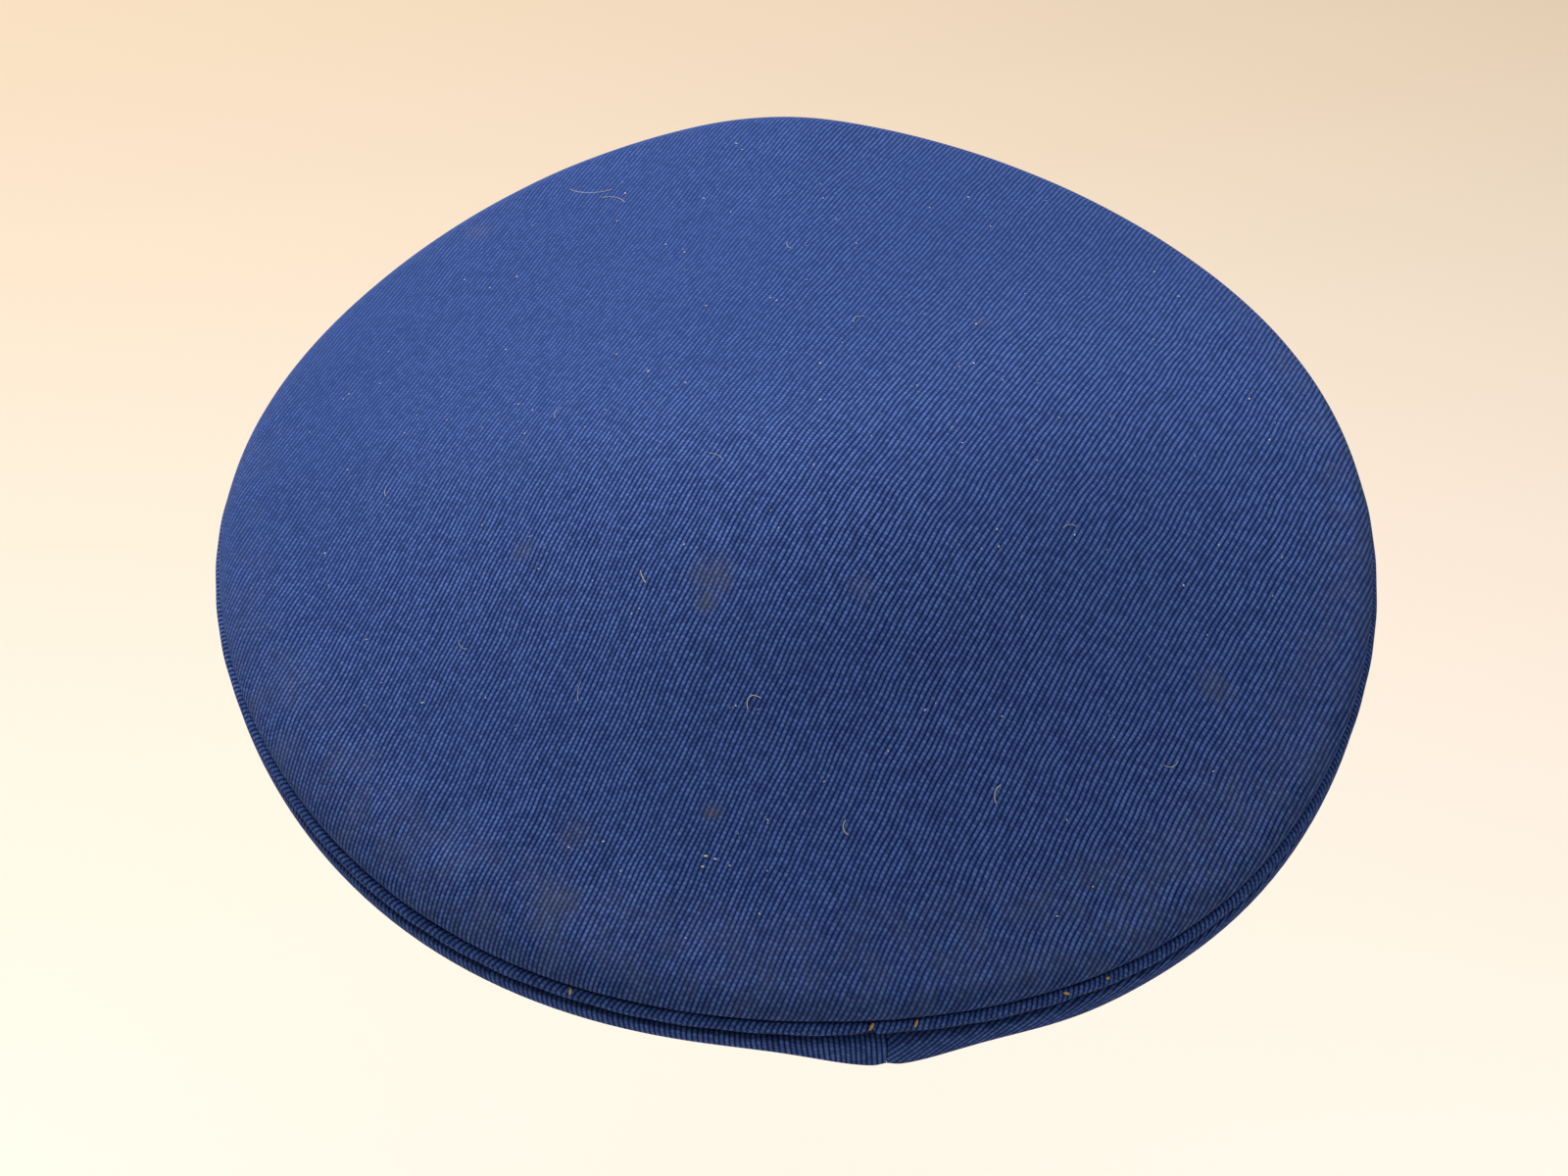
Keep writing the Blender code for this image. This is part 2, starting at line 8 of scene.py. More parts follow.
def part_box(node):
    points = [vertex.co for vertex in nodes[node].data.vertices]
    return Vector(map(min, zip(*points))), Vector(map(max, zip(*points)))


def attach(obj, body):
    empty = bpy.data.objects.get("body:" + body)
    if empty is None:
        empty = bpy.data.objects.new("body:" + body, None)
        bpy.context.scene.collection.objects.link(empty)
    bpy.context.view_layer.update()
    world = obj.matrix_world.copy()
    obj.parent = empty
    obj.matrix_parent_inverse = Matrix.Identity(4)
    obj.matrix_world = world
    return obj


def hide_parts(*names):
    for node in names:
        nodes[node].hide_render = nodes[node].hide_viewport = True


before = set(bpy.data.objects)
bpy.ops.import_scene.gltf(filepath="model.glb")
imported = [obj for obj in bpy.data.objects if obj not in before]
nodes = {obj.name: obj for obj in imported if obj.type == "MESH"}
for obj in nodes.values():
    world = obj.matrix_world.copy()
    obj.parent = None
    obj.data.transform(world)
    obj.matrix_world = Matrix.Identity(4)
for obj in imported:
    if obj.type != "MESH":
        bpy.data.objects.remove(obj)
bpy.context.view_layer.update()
mm = 0.001
fullTurn = 2 * math.pi
back = math.pi  # angles start at the front and grow towards the wearer's left


# Shared shapes of the cap

def ovalOf(node):  # half-width, half-length, bottom and top of an oval node
    low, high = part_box(node)
    return (high.x - low.x) / 2, (high.y - low.y) / 2, low.z, high.z


bandWide, bandLong, bandLow, bandHigh = ovalOf("cap_band")

crown = {
    "radius": 139.3 * mm,     # mean, to the outside of the piping
    "spread": 0.85 * mm,      # wider across than front to back
    "level": 58 * mm,         # mean height of the piping
    # waves of the rim in mm, by their number: front up and back down, then the wire's own bends
    "waves": {1: (28.5, -1.7), 2: (-0.3, -2.4), 3: (0.4, 0.55), 4: (2.3, -0.5)},
    # where the edge is out of true, as height, angle in degrees and half width: pushed up by the stay
    "peak": (1.9 * mm, -6, 12),
    "top": 100 * mm,
    "edgeRise": 6.8 * mm,     # the cloth's height over the piping before it rolls over
    "edgeInset": 2.6 * mm,
    "widestInset": 1.1 * mm,
    "widestRise": 3.2 * mm,
    "undercut": 1.6 * mm,
    "rollWidth": 5.2 * mm,
    # where the rolled edge is wider or narrower, in mm, with angle in degrees and half width
    "rollChanges": ((3.2, 125, 32), (-1.6, 180, 22), (-0.8, 225, 35)),
    "fullest": (125, 32),
    "ridge": (0.9 * mm, 9 * mm, 6 * mm),  # inside its fullest part: height, how far in, half width
    "ripple": 0.35 * mm,
    "rippleIn": (16 * mm, 11 * mm),
    "slack": 0.4 * mm,
    "cloth": 1.0 * mm,
}

quarter = {
    "drop": 6.8 * mm,
    "foldShare": 0.6,         # of the grid that lies below the fold
    "insets": (1.5, 0.6, 1.7),  # mm in from the rim: as a whole, the bulge's, the pull's under the piping
    "pull": (0.6, 0.32),      # where up the face the pull starts, and over how much
    "foldIn": 1.5 * mm,
    "curveIn": 5.5 * mm,
    "leastFall": 1.5 * mm,
    "seamSag": (5.2 * mm, 180, 8),
    "sideSag": (1.4 * mm, 198, 9),
    "seamTuck": 0.7 * mm,
    "footOut": 1.5 * mm,
    "footUp": 2.2 * mm,
}


def hump(angle, centre, width):  # a smooth bump round an angle, in degrees
    away = (angle - math.radians(centre) + math.pi) % fullTurn - math.pi
    return np.exp(-((away / math.radians(width)) ** 2))


def crownRadius(angle):
    return crown["radius"] - crown["spread"] * np.cos(2 * angle)


def rimHeight(angle):
    waves = [even * np.cos(n * angle) + odd * np.sin(n * angle) for n, (even, odd) in crown["waves"].items()]
    height, *place = crown["peak"]
    return crown["level"] + sum(waves) * mm + height * hump(angle, *place)


def domeHeight(angle, radius):
    out = radius / (crownRadius(angle) - crown["edgeInset"])
    share = np.where(out < 0.5, 1 - 4 / 3 * out**2, 4 / 3 * (1 - out))
    edge = rimHeight(angle) + crown["edgeRise"]
    return edge + (crown["top"] - edge) * share


def polar(angle, radius, height):
    return np.stack([radius * np.sin(angle), -radius * np.cos(angle), height + 0 * angle], -1)


def onOval(angle, wide, long, height):
    return np.stack([wide * np.sin(angle), -long * np.cos(angle), height + 0 * angle], -1)


def slackAt(x, y):  # the slow hollows of cloth that isn't quite taut
    return np.sin(x / (23 * mm) + 1.1 * np.sin(y / (31 * mm))) * np.sin(y / (27 * mm) + 0.7)


def crownPoint(angle, v):  # v runs from the crease (0) over the rolled edge to the middle (1)
    underShare, rollShare = 0.05, 0.2
    under = np.clip(v / underShare, 0, 1)
    roll = np.clip((v - underShare) / rollShare, 0, 1)
    inner = np.clip((v - underShare - rollShare) / (1 - underShare - rollShare), 0, 1)
    rollWidth = crown["rollWidth"] + sum(more * hump(angle, *at) for more, *at in crown["rollChanges"]) * mm
    widest = crownRadius(angle) - crown["widestInset"]
    turned = (1 - roll) * math.pi / 2
    start = widest - rollWidth
    radius = np.where(inner > 0, start * (1 - inner), start + rollWidth * np.sin(turned))
    fall = domeHeight(angle, widest) - rimHeight(angle) - crown["widestRise"]
    height = domeHeight(angle, radius) - fall * (1 - np.cos(turned))
    inside = widest - radius
    ridge, ridgeIn, ridgeWidth = crown["ridge"]
    along = hump(angle, *crown["fullest"])
    height = height + ridge * along * np.exp(-(((inside - ridgeIn) / ridgeWidth) ** 2))
    tucked = (1 - under) * math.pi / 2
    radius = radius - crown["undercut"] * (1 - np.cos(tucked))
    height = height - crown["undercut"] * np.sin(tucked)
    rippleIn, rippleWidth = crown["rippleIn"]
    nearEdge = np.exp(-(((inside - rippleIn) / rippleWidth) ** 2))
    waves = np.sin(21 * angle + 1.7 * np.sin(3 * angle)) + 0.6 * np.sin(37 * angle + 2)
    height = height + crown["ripple"] * nearEdge * waves * (0.35 + hump(angle, 165, 40))
    x, y = radius * np.sin(angle), -radius * np.cos(angle)
    height = height + crown["slack"] * slackAt(x, y) * np.clip(inside / (20 * mm), 0, 1)
    return polar(angle, radius, height)


def quarterDrop(angle):
    (seam, *seamPlace), (side, *sidePlace) = quarter["seamSag"], quarter["sideSag"]
    return quarter["drop"] + seam * hump(angle, *seamPlace) + side * hump(angle, *sidePlace)


def quarterPoint(angle, v):  # v runs from the band (0) round the fold to the piping (1)
    foldShare, drop = quarter["foldShare"], quarterDrop(angle)
    inward, bulge, pull = quarter["insets"]
    pullFrom, pullOver = quarter["pull"]
    rim, radius = rimHeight(angle), crownRadius(angle)
    seams = sum(hump(angle, 90 * k, 0.8) for k in range(4)) * quarter["seamTuck"]
    up = np.clip((v - foldShare) / (1 - foldShare), 0, 1)
    pulled = np.clip((up - pullFrom) / pullOver, 0, 1)
    inset = (inward - bulge * np.sin(math.pi * up) + pull * pulled**2 * (3 - 2 * pulled)) * mm + seams
    upright = polar(angle, radius - inset, rim - drop + (drop - quarter["foldIn"]) * up)
    along = np.clip((foldShare - v) / foldShare, 0, 1)[..., None]
    fold = polar(angle, radius - quarter["foldIn"] - seams, rim - drop)
    footOut = quarter["footOut"]
    foot = onOval(angle, bandWide + footOut, bandLong + footOut, bandHigh + quarter["footUp"])
    fall = np.maximum(quarter["leastFall"], 0.3 * (fold[..., 2] - foot[..., 2]))
    control = polar(angle, radius - quarter["curveIn"], rim - drop - fall)
    under = fold * (1 - along) ** 2 + control * 2 * along * (1 - along) + foot * along**2
    return np.where((v > foldShare)[..., None], upright, under)


# Tools that shape pieces

def deselectAll():
    bpy.ops.object.select_all(action="DESELECT")


def choose(*pieces):  # leaves only these selected, the first of them active
    deselectAll()
    for piece in pieces:
        piece.select_set(True)
    bpy.context.view_layer.objects.active = pieces[0]


def gridPiece(name, across, down, place, cloth, joined=()):
    # a grid laid on the shape that place(u, v) gives; joined names the sides that meet: "round", "section"
    deselectAll()
    bpy.ops.mesh.primitive_grid_add(x_subdivisions=across, y_subdivisions=down, size=1, calc_uvs=True)
    piece = bpy.context.object
    piece.name = piece.data.name = name
    mesh = piece.data
    flat = np.empty(len(mesh.vertices) * 3)
    mesh.vertices.foreach_get("co", flat)
    flat = flat.reshape(-1, 3)
    column = np.rint((flat[:, 0] + 0.5) * across).astype(int)
    row = np.rint((flat[:, 1] + 0.5) * down).astype(int)
    u, v = np.meshgrid(np.linspace(0, 1, across + 1), np.linspace(0, 1, down + 1))
    points = place(u, v)
    side, length = cloth(points, u, v)
    mesh.vertices.foreach_set("co", points[row, column].ravel())
    corner = np.empty(len(mesh.loops), int)
    mesh.loops.foreach_get("vertex_index", corner)
    uv = np.stack([side[row, column], length[row, column]], -1)[corner]
    mesh.uv_layers.active.data.foreach_set("uv", uv.ravel())
    mesh.update()
    if joined:
        bpy.ops.object.mode_set(mode="EDIT")
        bpy.ops.mesh.select_all(action="SELECT")
        bpy.ops.mesh.remove_doubles(threshold=1e-6)
        bpy.ops.object.mode_set(mode="OBJECT")
    return piece


def steps(points, axis):  # running length of the grid along one of its directions
    gaps = np.linalg.norm(np.diff(points, axis=axis), axis=-1)
    zero = np.zeros_like(np.take(gaps, [0], axis=axis))
    return np.cumsum(np.concatenate([zero, gaps], axis=axis), axis=axis)


def clothRound(points, u, v):  # cloth cut as a strip: along it, and up it
    middle = steps(points, 1)[points.shape[0] // 2]
    return np.broadcast_to(middle, u.shape), steps(points, 0)


def clothHung(points, u, v):  # the same, measured along and down from the upper edge
    up = steps(points, 0)
    return np.broadcast_to(steps(points, 1)[-1], u.shape), up - up[-1]


def clothTurning(points, u, v, first=46, last=20, over=60 * mm):
    # as clothHung, for ribs at 45 degrees that lie at the first angle at the seam and turn to the last
    side, down = clothHung(points, u, v)
    lean = np.radians(first + (last - first) * np.clip(side / over, 0, 1))
    gaps = np.diff(side, axis=1, prepend=0)
    return np.cumsum(gaps * np.sin(lean), axis=1) * math.sqrt(2), down * np.cos(lean) * math.sqrt(2)


def clothFlat(points, u, v):  # cloth cut as a disc, measured from its middle
    up = steps(points, 0)
    out = up[-1] - up
    angle = u * fullTurn
    return out * np.sin(angle), -out * np.cos(angle)


def applyModifier(piece, kind, **settings):
    choose(piece)
    modifier = piece.modifiers.new(kind.lower(), kind)
    for key, value in settings.items():
        setattr(modifier, key, value)
    bpy.ops.object.modifier_apply(modifier=modifier.name)


def thicken(piece, wall):
    settings = {"thickness": wall, "offset": -1, "use_even_offset": True, "use_quality_normals": True}
    applyModifier(piece, "SOLIDIFY", **settings)


def tubePoints(centre, outward, radius, section):
    # points of a round cord: section runs once round it, from its outer side upwards
    wave = section * fullTurn
    upward = np.array([0, 0, 1.0])
    return centre + (outward * np.cos(wave)[..., None] + upward * np.sin(wave)[..., None]) * radius


def hand(piece, material, body, replaced=(), angle=50):
    # a finished piece: its finish, the body it rides on, and the nodes it stands for
    piece.data.materials.clear()
    piece.data.materials.append(material)
    choose(piece)
    bpy.ops.object.shade_smooth_by_angle(angle=math.radians(angle))
    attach(piece, body)
    if replaced:
        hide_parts(*replaced)
    return piece


def pickFaces(piece, wanted):  # in edit mode, selects the faces for which wanted(centre, normal) holds
    bpy.ops.object.mode_set(mode="EDIT")
    bpy.ops.mesh.select_mode(type="FACE")
    bpy.ops.mesh.select_all(action="DESELECT")
    bpy.ops.object.mode_set(mode="OBJECT")
    for face in piece.data.polygons:
        face.select = wanted(face.center, face.normal)
    bpy.ops.object.mode_set(mode="EDIT")


def turnedPiece(name, profile, turns=64):  # a profile of (radius, height) spun round Z
    deselectAll()
    bpy.ops.mesh.primitive_plane_add(size=1 * mm)
    piece = bpy.context.object
    piece.name = piece.data.name = name
    bpy.ops.object.mode_set(mode="EDIT")
    bpy.ops.mesh.select_mode(type="VERT")
    bpy.ops.mesh.select_all(action="SELECT")
    bpy.ops.mesh.merge(type="CENTER")
    radius, height = profile[0]
    bpy.ops.transform.translate(value=(radius, 0, height))
    for (fromRadius, fromHeight), (radius, height) in zip(profile, profile[1:]):
        step = (radius - fromRadius, 0, height - fromHeight)
        bpy.ops.mesh.extrude_region_move(TRANSFORM_OT_translate={"value": step})
    bpy.ops.mesh.select_all(action="SELECT")
    bpy.ops.mesh.spin(steps=turns, angle=fullTurn, center=(0, 0, 0), axis=(0, 0, 1))
    bpy.ops.mesh.select_all(action="SELECT")
    bpy.ops.mesh.remove_doubles(threshold=1e-6)
    bpy.ops.mesh.normals_make_consistent(inside=False)
    bpy.ops.object.mode_set(mode="OBJECT")
    return piece


def cutWith(piece, cutter, place):
    cutter.data.transform(place)
    applyModifier(piece, "BOOLEAN", object=cutter, operation="DIFFERENCE")
    bpy.data.objects.remove(cutter)


def facing(point, normal):  # a frame at point with Z along normal and Y up
    across = Vector((0, 0, 1)).cross(normal).normalized()
    turn = Matrix((across, normal.cross(across), normal)).transposed()
    return Matrix.Translation(point) @ turn.to_4x4()


def strewn(name, base, places):  # one piece made of a small shape repeated at many places
    points = np.array([tuple(vertex.co) for vertex in base.data.vertices])
    corners = [tuple(face.vertices) for face in base.data.polygons]
    vertices, faces = [], []
    for place in places:
        turn = np.array(place)
        first = len(vertices)
        vertices += (points @ turn[:3, :3].T + turn[:3, 3]).tolist()
        faces += [tuple(first + k for k in face) for face in corners]
    mesh = bpy.data.meshes.new(name)
    mesh.from_pydata(vertices, [], faces)
    mesh.update()
    bpy.data.objects.remove(base)
    piece = bpy.data.objects.new(name, mesh)
    bpy.context.scene.collection.objects.link(piece)
    return piece


def evenPlaces(points, spacing, normals):  # frames along a line: X along it, Z out of the surface
    length = np.concatenate([[0], np.cumsum(np.linalg.norm(np.diff(points, axis=0), axis=1))])
    count = int(length[-1] / spacing)
    places = []
    for distance in (np.arange(count) + 0.5) * length[-1] / count:
        spot = [np.interp(distance, length, points[:, k]) for k in range(3)]
        ahead = [np.interp(distance + 0.2 * mm, length, points[:, k]) for k in range(3)]
        normal = Vector([np.interp(distance, length, normals[:, k]) for k in range(3)])
        along = (Vector(ahead) - Vector(spot)).normalized()
        side = normal.cross(along).normalized()
        turn = Matrix((along, side, along.cross(side))).transposed()
        places.append(Matrix.Translation(spot) @ turn.to_4x4())
    return places


def smallBall(size, segments=6, rings=4):
    deselectAll()
    bpy.ops.mesh.primitive_uv_sphere_add(segments=segments, ring_count=rings, radius=1)
    ball = bpy.context.object
    ball.data.transform(Matrix.Diagonal((*size, 1)))
    return ball


# Shader maths

class Wire:  # one socket, so that maths on it reads as maths
    def __init__(self, finish, socket):
        self.finish, self.socket = finish, socket

    def math(self, kind, *values):
        return self.finish.node("Math", {"operation": kind}, dict(enumerate(values)))

    def __add__(self, other):
        return self.math("ADD", self, other)

    def __sub__(self, other):
        return self.math("SUBTRACT", self, other)

    def __rsub__(self, other):
        return self.math("SUBTRACT", other, self)

    def __mul__(self, other):
        return self.math("MULTIPLY", self, other)

    def __pow__(self, other):
        return self.math("POWER", self, other)

    __radd__ = __add__

    def whole(self):
        return self.math("FLOOR", self)

    def rest(self):
        return self.math("FRACT", self)

    def sine(self):
        return self.math("SINE", self)

    def ramp(self, low, high):  # 0 below low, 1 above high
        sockets = {"Value": self, "From Min": low, "From Max": high}
        return self.finish.node("MapRange", {"clamp": True}, sockets)


class Finish:  # a material, built node by node
    def __init__(self, name, **fixed):
        self.material = bpy.data.materials.new(name)
        self.material.use_nodes = True
        self.tree = self.material.node_tree
        self.shader = self.tree.nodes["Principled BSDF"]
        for key, value in fixed.items():
            self.feed(self.shader, key.replace("_", " "), value)

    def feed(self, node, key, value):
        socket = node.inputs[key]
        if isinstance(value, Wire):
            self.tree.links.new(value.socket, socket)
        elif isinstance(value, tuple) and len(value) == 3 and socket.type == "RGBA":
            socket.default_value = (*value, 1)
        else:
            socket.default_value = value

    def node(self, kind, settings=None, sockets=None, output=0):
        made = self.tree.nodes.new("ShaderNode" + kind)
        for key, value in (settings or {}).items():
            setattr(made, key, value)
        for key, value in (sockets or {}).items():
            self.feed(made, key, value)
        return Wire(self, made.outputs[output])

    def set(self, key, value):
        self.feed(self.shader, key, value)

    def mix(self, share, first, second, blend="MIX"):
        settings = {"data_type": "RGBA", "blend_type": blend}
        return self.node("Mix", settings, {0: share, 6: first, 7: second}, output=2)

    def parts(self, vector):
        made = self.tree.nodes.new("ShaderNodeSeparateXYZ")
        self.tree.links.new(vector.socket, made.inputs[0])
        return [Wire(self, made.outputs[k]) for k in range(3)]

    def scaled(self, vector, by):
        return self.node("VectorMath", {"operation": "SCALE"}, {0: vector, "Scale": by})

    def noise(self, at, scale, detail=2.0, roughness=0.5):
        sockets = {"Vector": at, "Scale": scale, "Detail": detail, "Roughness": roughness}
        return self.node("TexNoise", None, sockets)

    def bump(self, height, depth, strength):
        return self.node("Bump", None, {"Height": height, "Distance": depth, "Strength": strength})


twillLook = {
    "pitch": 1.2,             # mm from rib to rib
    "float": 1.1,             # mm of one yarn's pass along the rib
    "fan": -0.0006,           # how far the ribs spread and turn over the top, per mm
    "ease": 0.0002,
    # rib carries painted sheen over the yarn's own blue, and groove carries painted shade between the ribs
    "rib": (0.078, 0.146, 0.450),
    "groove": (0.0015, 0.013, 0.082),
    "faded": (0.024, 0.060, 0.235),
    "dust": (0.24, 0.23, 0.24),
    "edgeDust": (0.085, 0.100, 0.150),
    "soil": (0.105, 0.112, 0.150),
    # near-black tone for the grooves beside the piping: dirt and painted shade
    "dirtAndShade": (0.0030, 0.0060, 0.022),
    "ribHeight": 0.22 * mm,
}


def makeTwill(name, ribAngle, marks=(), dusty=0.05, top=False, dirtAndShade=None):
    cloth = Finish(name, Roughness=0.85, Sheen_Weight=0.04, Sheen_Roughness=0.5, Specular_IOR_Level=0.06)
    cloth.set("Sheen Tint", (0.55, 0.66, 1.0))
    look = twillLook
    at = cloth.scaled(cloth.node("TexCoord", output="UV"), 1000.0)
    side, length, _ = cloth.parts(at)
    wander = cloth.noise(at, 0.06, 1.0)
    fine = cloth.noise(at, 1.6, 2.0)
    cosine, sine = math.cos(math.radians(ribAngle)), math.sin(math.radians(ribAngle))
    across = side * sine - length * cosine
    if top:
        across = across + side * length * look["fan"] + length ** 2 * look["ease"]
    across = across * (1 / look["pitch"]) + wander * 1.2 + fine * 0.16
    along = (side * cosine + length * sine) * (1 / look["float"])
    rib = across.whole()
    stagger = cloth.node("TexWhiteNoise", {"noise_dimensions": "1D"}, {"W": rib + 0.5})
    passes = along + rib * 0.37 + stagger * 0.45
    cell = cloth.node("CombineXYZ", None, {0: rib, 1: passes.whole(), 2: 0.0})
    random = cloth.node("TexWhiteNoise", {"noise_dimensions": "3D"}, {"Vector": cell})
    inRib = across.rest() * 2 - 1
    inPass = passes.rest() * 2 - 1
    height = (1 - inRib ** 2) * (1 - inPass ** 4 * 0.42)
    # the weave's own pattern, with painted sheen on the ribs and painted shade in the grooves
    tone = cloth.mix(height.ramp(0.3, 0.95), look["groove"], look["rib"])
    drawn = cloth.node("CombineXYZ", None, {0: across * 0.9, 1: along * 0.12, 2: 3.0})
    streak = cloth.noise(drawn, 1.0, 2.0)
    yarn = 0.32 + random * 0.66 + streak * 0.7
    tint = cloth.node("CombineColor", None, {0: yarn, 1: yarn * 0.9 + 0.1, 2: yarn * 0.7 + 0.3})
    tone = cloth.mix(1.0, tone, tint, "MULTIPLY")
    broad = cloth.noise(at, 0.012, 3.0).ramp(0.35, 0.7)
    worn = broad * 0.25
    if top:  # the front of the top is rubbed smoother, and its rolled edge holds dust
        worn = worn + length.ramp(35, -75) * 0.5
        reach = (side ** 2 + length ** 2) ** 0.5
        edge = reach.ramp(126, 136) * cloth.noise(at, 0.12, 3.0).ramp(0.35, 0.65)
        tone = cloth.mix(edge * 0.25, tone, look["edgeDust"])
    tone = cloth.mix(worn, tone, look["faded"])
    lint = cloth.noise(at, 2.1, 3.0, 0.7).ramp(0.66, 0.78)
    tone = cloth.mix(lint * dusty * 6, tone, look["dust"])
    for x, y, size, strength in marks:
        spot = cloth.node("VectorMath", {"operation": "DISTANCE"}, {0: at, 1: (x, y, 0.0)}, output="Value")
        ragged = spot + (cloth.noise(at, 0.35, 3.0) - 0.5) * size * 1.6
        held = (1 - ragged.ramp(size * 0.2, size)) * (height * 0.5 + 0.5) * strength
        tone = cloth.mix(held, tone, look["soil"])
    if dirtAndShade:  # dirt and painted shade darken the grooves beside the piping
        tone = cloth.mix(dirtAndShade(side, length) * 0.75, tone, look["dirtAndShade"])
    cloth.set("Base Color", tone)
    cloth.set("Normal", cloth.bump(height + fine * 0.25, look["ribHeight"], 0.9))
    return cloth.material


def makePlain(name, colour, other, grain, roughness, depth=0.1 * mm):
    # a quiet finish for what lies inside: two tones in a fine grain
    finish = Finish(name)
    at = finish.scaled(finish.node("TexCoord", output="Object"), 1000.0)
    speck = finish.noise(at, grain, 4.0, 0.6)
    finish.set("Base Color", finish.mix(speck.ramp(0.35, 0.65), colour, other))
    finish.set("Roughness", speck * 0.15 + (roughness - 0.07))
    finish.set("Normal", finish.bump(speck, depth, 0.5))
    return finish.material


def makeMetal(name, colour, roughness, brushed):
    metal = Finish(name, Metallic=1.0)
    at = metal.scaled(metal.node("TexCoord", output="Object"), 1000.0)
    x, y, z = metal.parts(at)
    stretched = metal.node("CombineXYZ", None, {0: x * 0.5, 1: y * 0.5, 2: z * brushed})
    hair = metal.noise(stretched, 3.0, 3.0)
    tarnish = metal.noise(at, 0.35, 3.0).ramp(0.45, 0.75)
    dull = tuple(part * 0.55 for part in colour)
    metal.set("Base Color", metal.mix(tarnish * 0.35, colour, dull))
    metal.set("Roughness", roughness + hair * 0.12 + tarnish * 0.12)
    metal.set("Normal", metal.bump(hair, 0.02 * mm, 0.35))
    return metal.material


def makeLacquer(name, colour):
    lacquer = Finish(name, Coat_Weight=0.6, Coat_Roughness=0.06, Specular_IOR_Level=0.5)
    at = lacquer.scaled(lacquer.node("TexCoord", output="Object"), 1000.0)
    peel = lacquer.noise(at, 0.5, 2.0)
    scuff = lacquer.noise(at, 0.9, 5.0, 0.75).ramp(0.62, 0.8)
    lacquer.set("Base Color", lacquer.mix(scuff * 0.25, colour, (0.06, 0.06, 0.065)))
    lacquer.set("Roughness", 0.16 + scuff * 0.3)
    lacquer.set("Normal", lacquer.bump(peel, 0.06 * mm, 0.25))
    return lacquer.material


def makeLeather(name, colour):
    leather = Finish(name, Specular_IOR_Level=0.4)
    at = leather.scaled(leather.node("TexCoord", output="UV"), 1000.0)
    cells = leather.node("TexVoronoi", {"feature": "DISTANCE_TO_EDGE"}, {"Vector": at, "Scale": 0.9})
    crease = cells.ramp(0.0, 0.12)
    wear = leather.noise(at, 0.06, 4.0).ramp(0.4, 0.7)
    dark = tuple(part * 0.45 for part in colour)
    tone = leather.mix(crease, dark, colour)
    leather.set("Base Color", leather.mix(wear * 0.5, tone, tuple(part * 1.35 for part in colour)))
    leather.set("Roughness", 0.55 - crease * 0.12 + wear * 0.1)
    leather.set("Normal", leather.bump(crease, 0.12 * mm, 0.6))
    return leather.material


def makeSatin(name, colour):
    satin = Finish(name, Roughness=0.42, Sheen_Weight=0.2, Specular_IOR_Level=0.6)
    at = satin.scaled(satin.node("TexCoord", output="UV"), 1000.0)
    side, length, _ = satin.parts(at)
    threads = (side * 14.0).sine() * 0.5 + (length * 9.0).sine() * 0.25 + 0.5
    slub = satin.noise(at, 0.25, 3.0)
    dark = tuple(part * 0.75 for part in colour)
    satin.set("Base Color", satin.mix(threads * 0.5 + slub * 0.5, dark, colour))
    satin.set("Normal", satin.bump(threads, 0.05 * mm, 0.4))
    return satin.material


def makeFilm(name):
    film = Finish(name, Base_Color=(0.85, 0.88, 0.9), IOR=1.45)
    at = film.scaled(film.node("TexCoord", output="Object"), 1000.0)
    haze = film.noise(at, 0.15, 3.0).ramp(0.4, 0.8)
    film.set("Alpha", 0.16 + haze * 0.12)
    film.set("Roughness", 0.08 + haze * 0.15)
    return film.material


crownMarks = (  # places on the top cloth in mm, size and strength
    (66, -110, 5, 0.25), (70, 22, 3.5, 0.35), (27, 45, 7, 0.45), (30, 51, 3.5, 0.55), (-8, 53, 5, 0.25),
    (-96, 70, 6, 0.35), (70, 99, 6, 0.3), (78, 114, 8, 0.35), (36, 102, 3, 0.7), (-52, -40, 3, 0.25),
)


# painted shade, with some dirt, on the piping's inner and lower sides
def innerSideOfPiping(side, length):
    return length.ramp(3.0, 4.0) * (1 - length.ramp(7.9, 8.9))


# painted shade, with some dirt, along the top of each quarter under the piping
def topOfQuarter(side, length):
    return length.ramp(-3.4, -1.6)


twillCrown = makeTwill("top_twill", 55.5, crownMarks, top=True)
twillPiping = makeTwill("piping_twill", 66, dusty=0.09, dirtAndShade=innerSideOfPiping)
twillUpright = makeTwill("left_quarter_twill", 94, dirtAndShade=topOfQuarter)
twillSlanted = makeTwill("right_quarter_twill", 45, dirtAndShade=topOfQuarter)
twillBand = makeTwill("band_twill", 63)
leatherTan = makeLeather("sweatband_leather", (0.24, 0.11, 0.045))
satinGrey = makeSatin("lining_satin", (0.36, 0.37, 0.40))
filmClear = makeFilm("shield_film")
lacquerBlack = makeLacquer("black_lacquer", (0.008, 0.008, 0.010))
brassGilt = makeMetal("gilt_brass", (0.78, 0.54, 0.20), 0.16, 1.0)
steelWire = makeMetal("bright_steel", (0.50, 0.51, 0.53), 0.3, 4.0)
lacquerStrap = makeLacquer("strap_lacquer", (0.010, 0.010, 0.012))
lintPale = makePlain("pale_lint", (0.50, 0.46, 0.40), (0.72, 0.68, 0.60), 2.0, 0.8)
strawGold = makePlain("straw", (0.52, 0.30, 0.06), (0.70, 0.46, 0.14), 2.0, 0.6)
threadDark = makePlain("dark_thread", (0.02, 0.03, 0.08), (0.04, 0.06, 0.14), 3.0, 0.7)
threadTan = makePlain("tan_thread", (0.30, 0.17, 0.08), (0.42, 0.26, 0.13), 3.0, 0.7)
greenCloth = makePlain("visor_underside", (0.010, 0.040, 0.024), (0.020, 0.070, 0.042), 1.4, 0.8, 0.2 * mm)
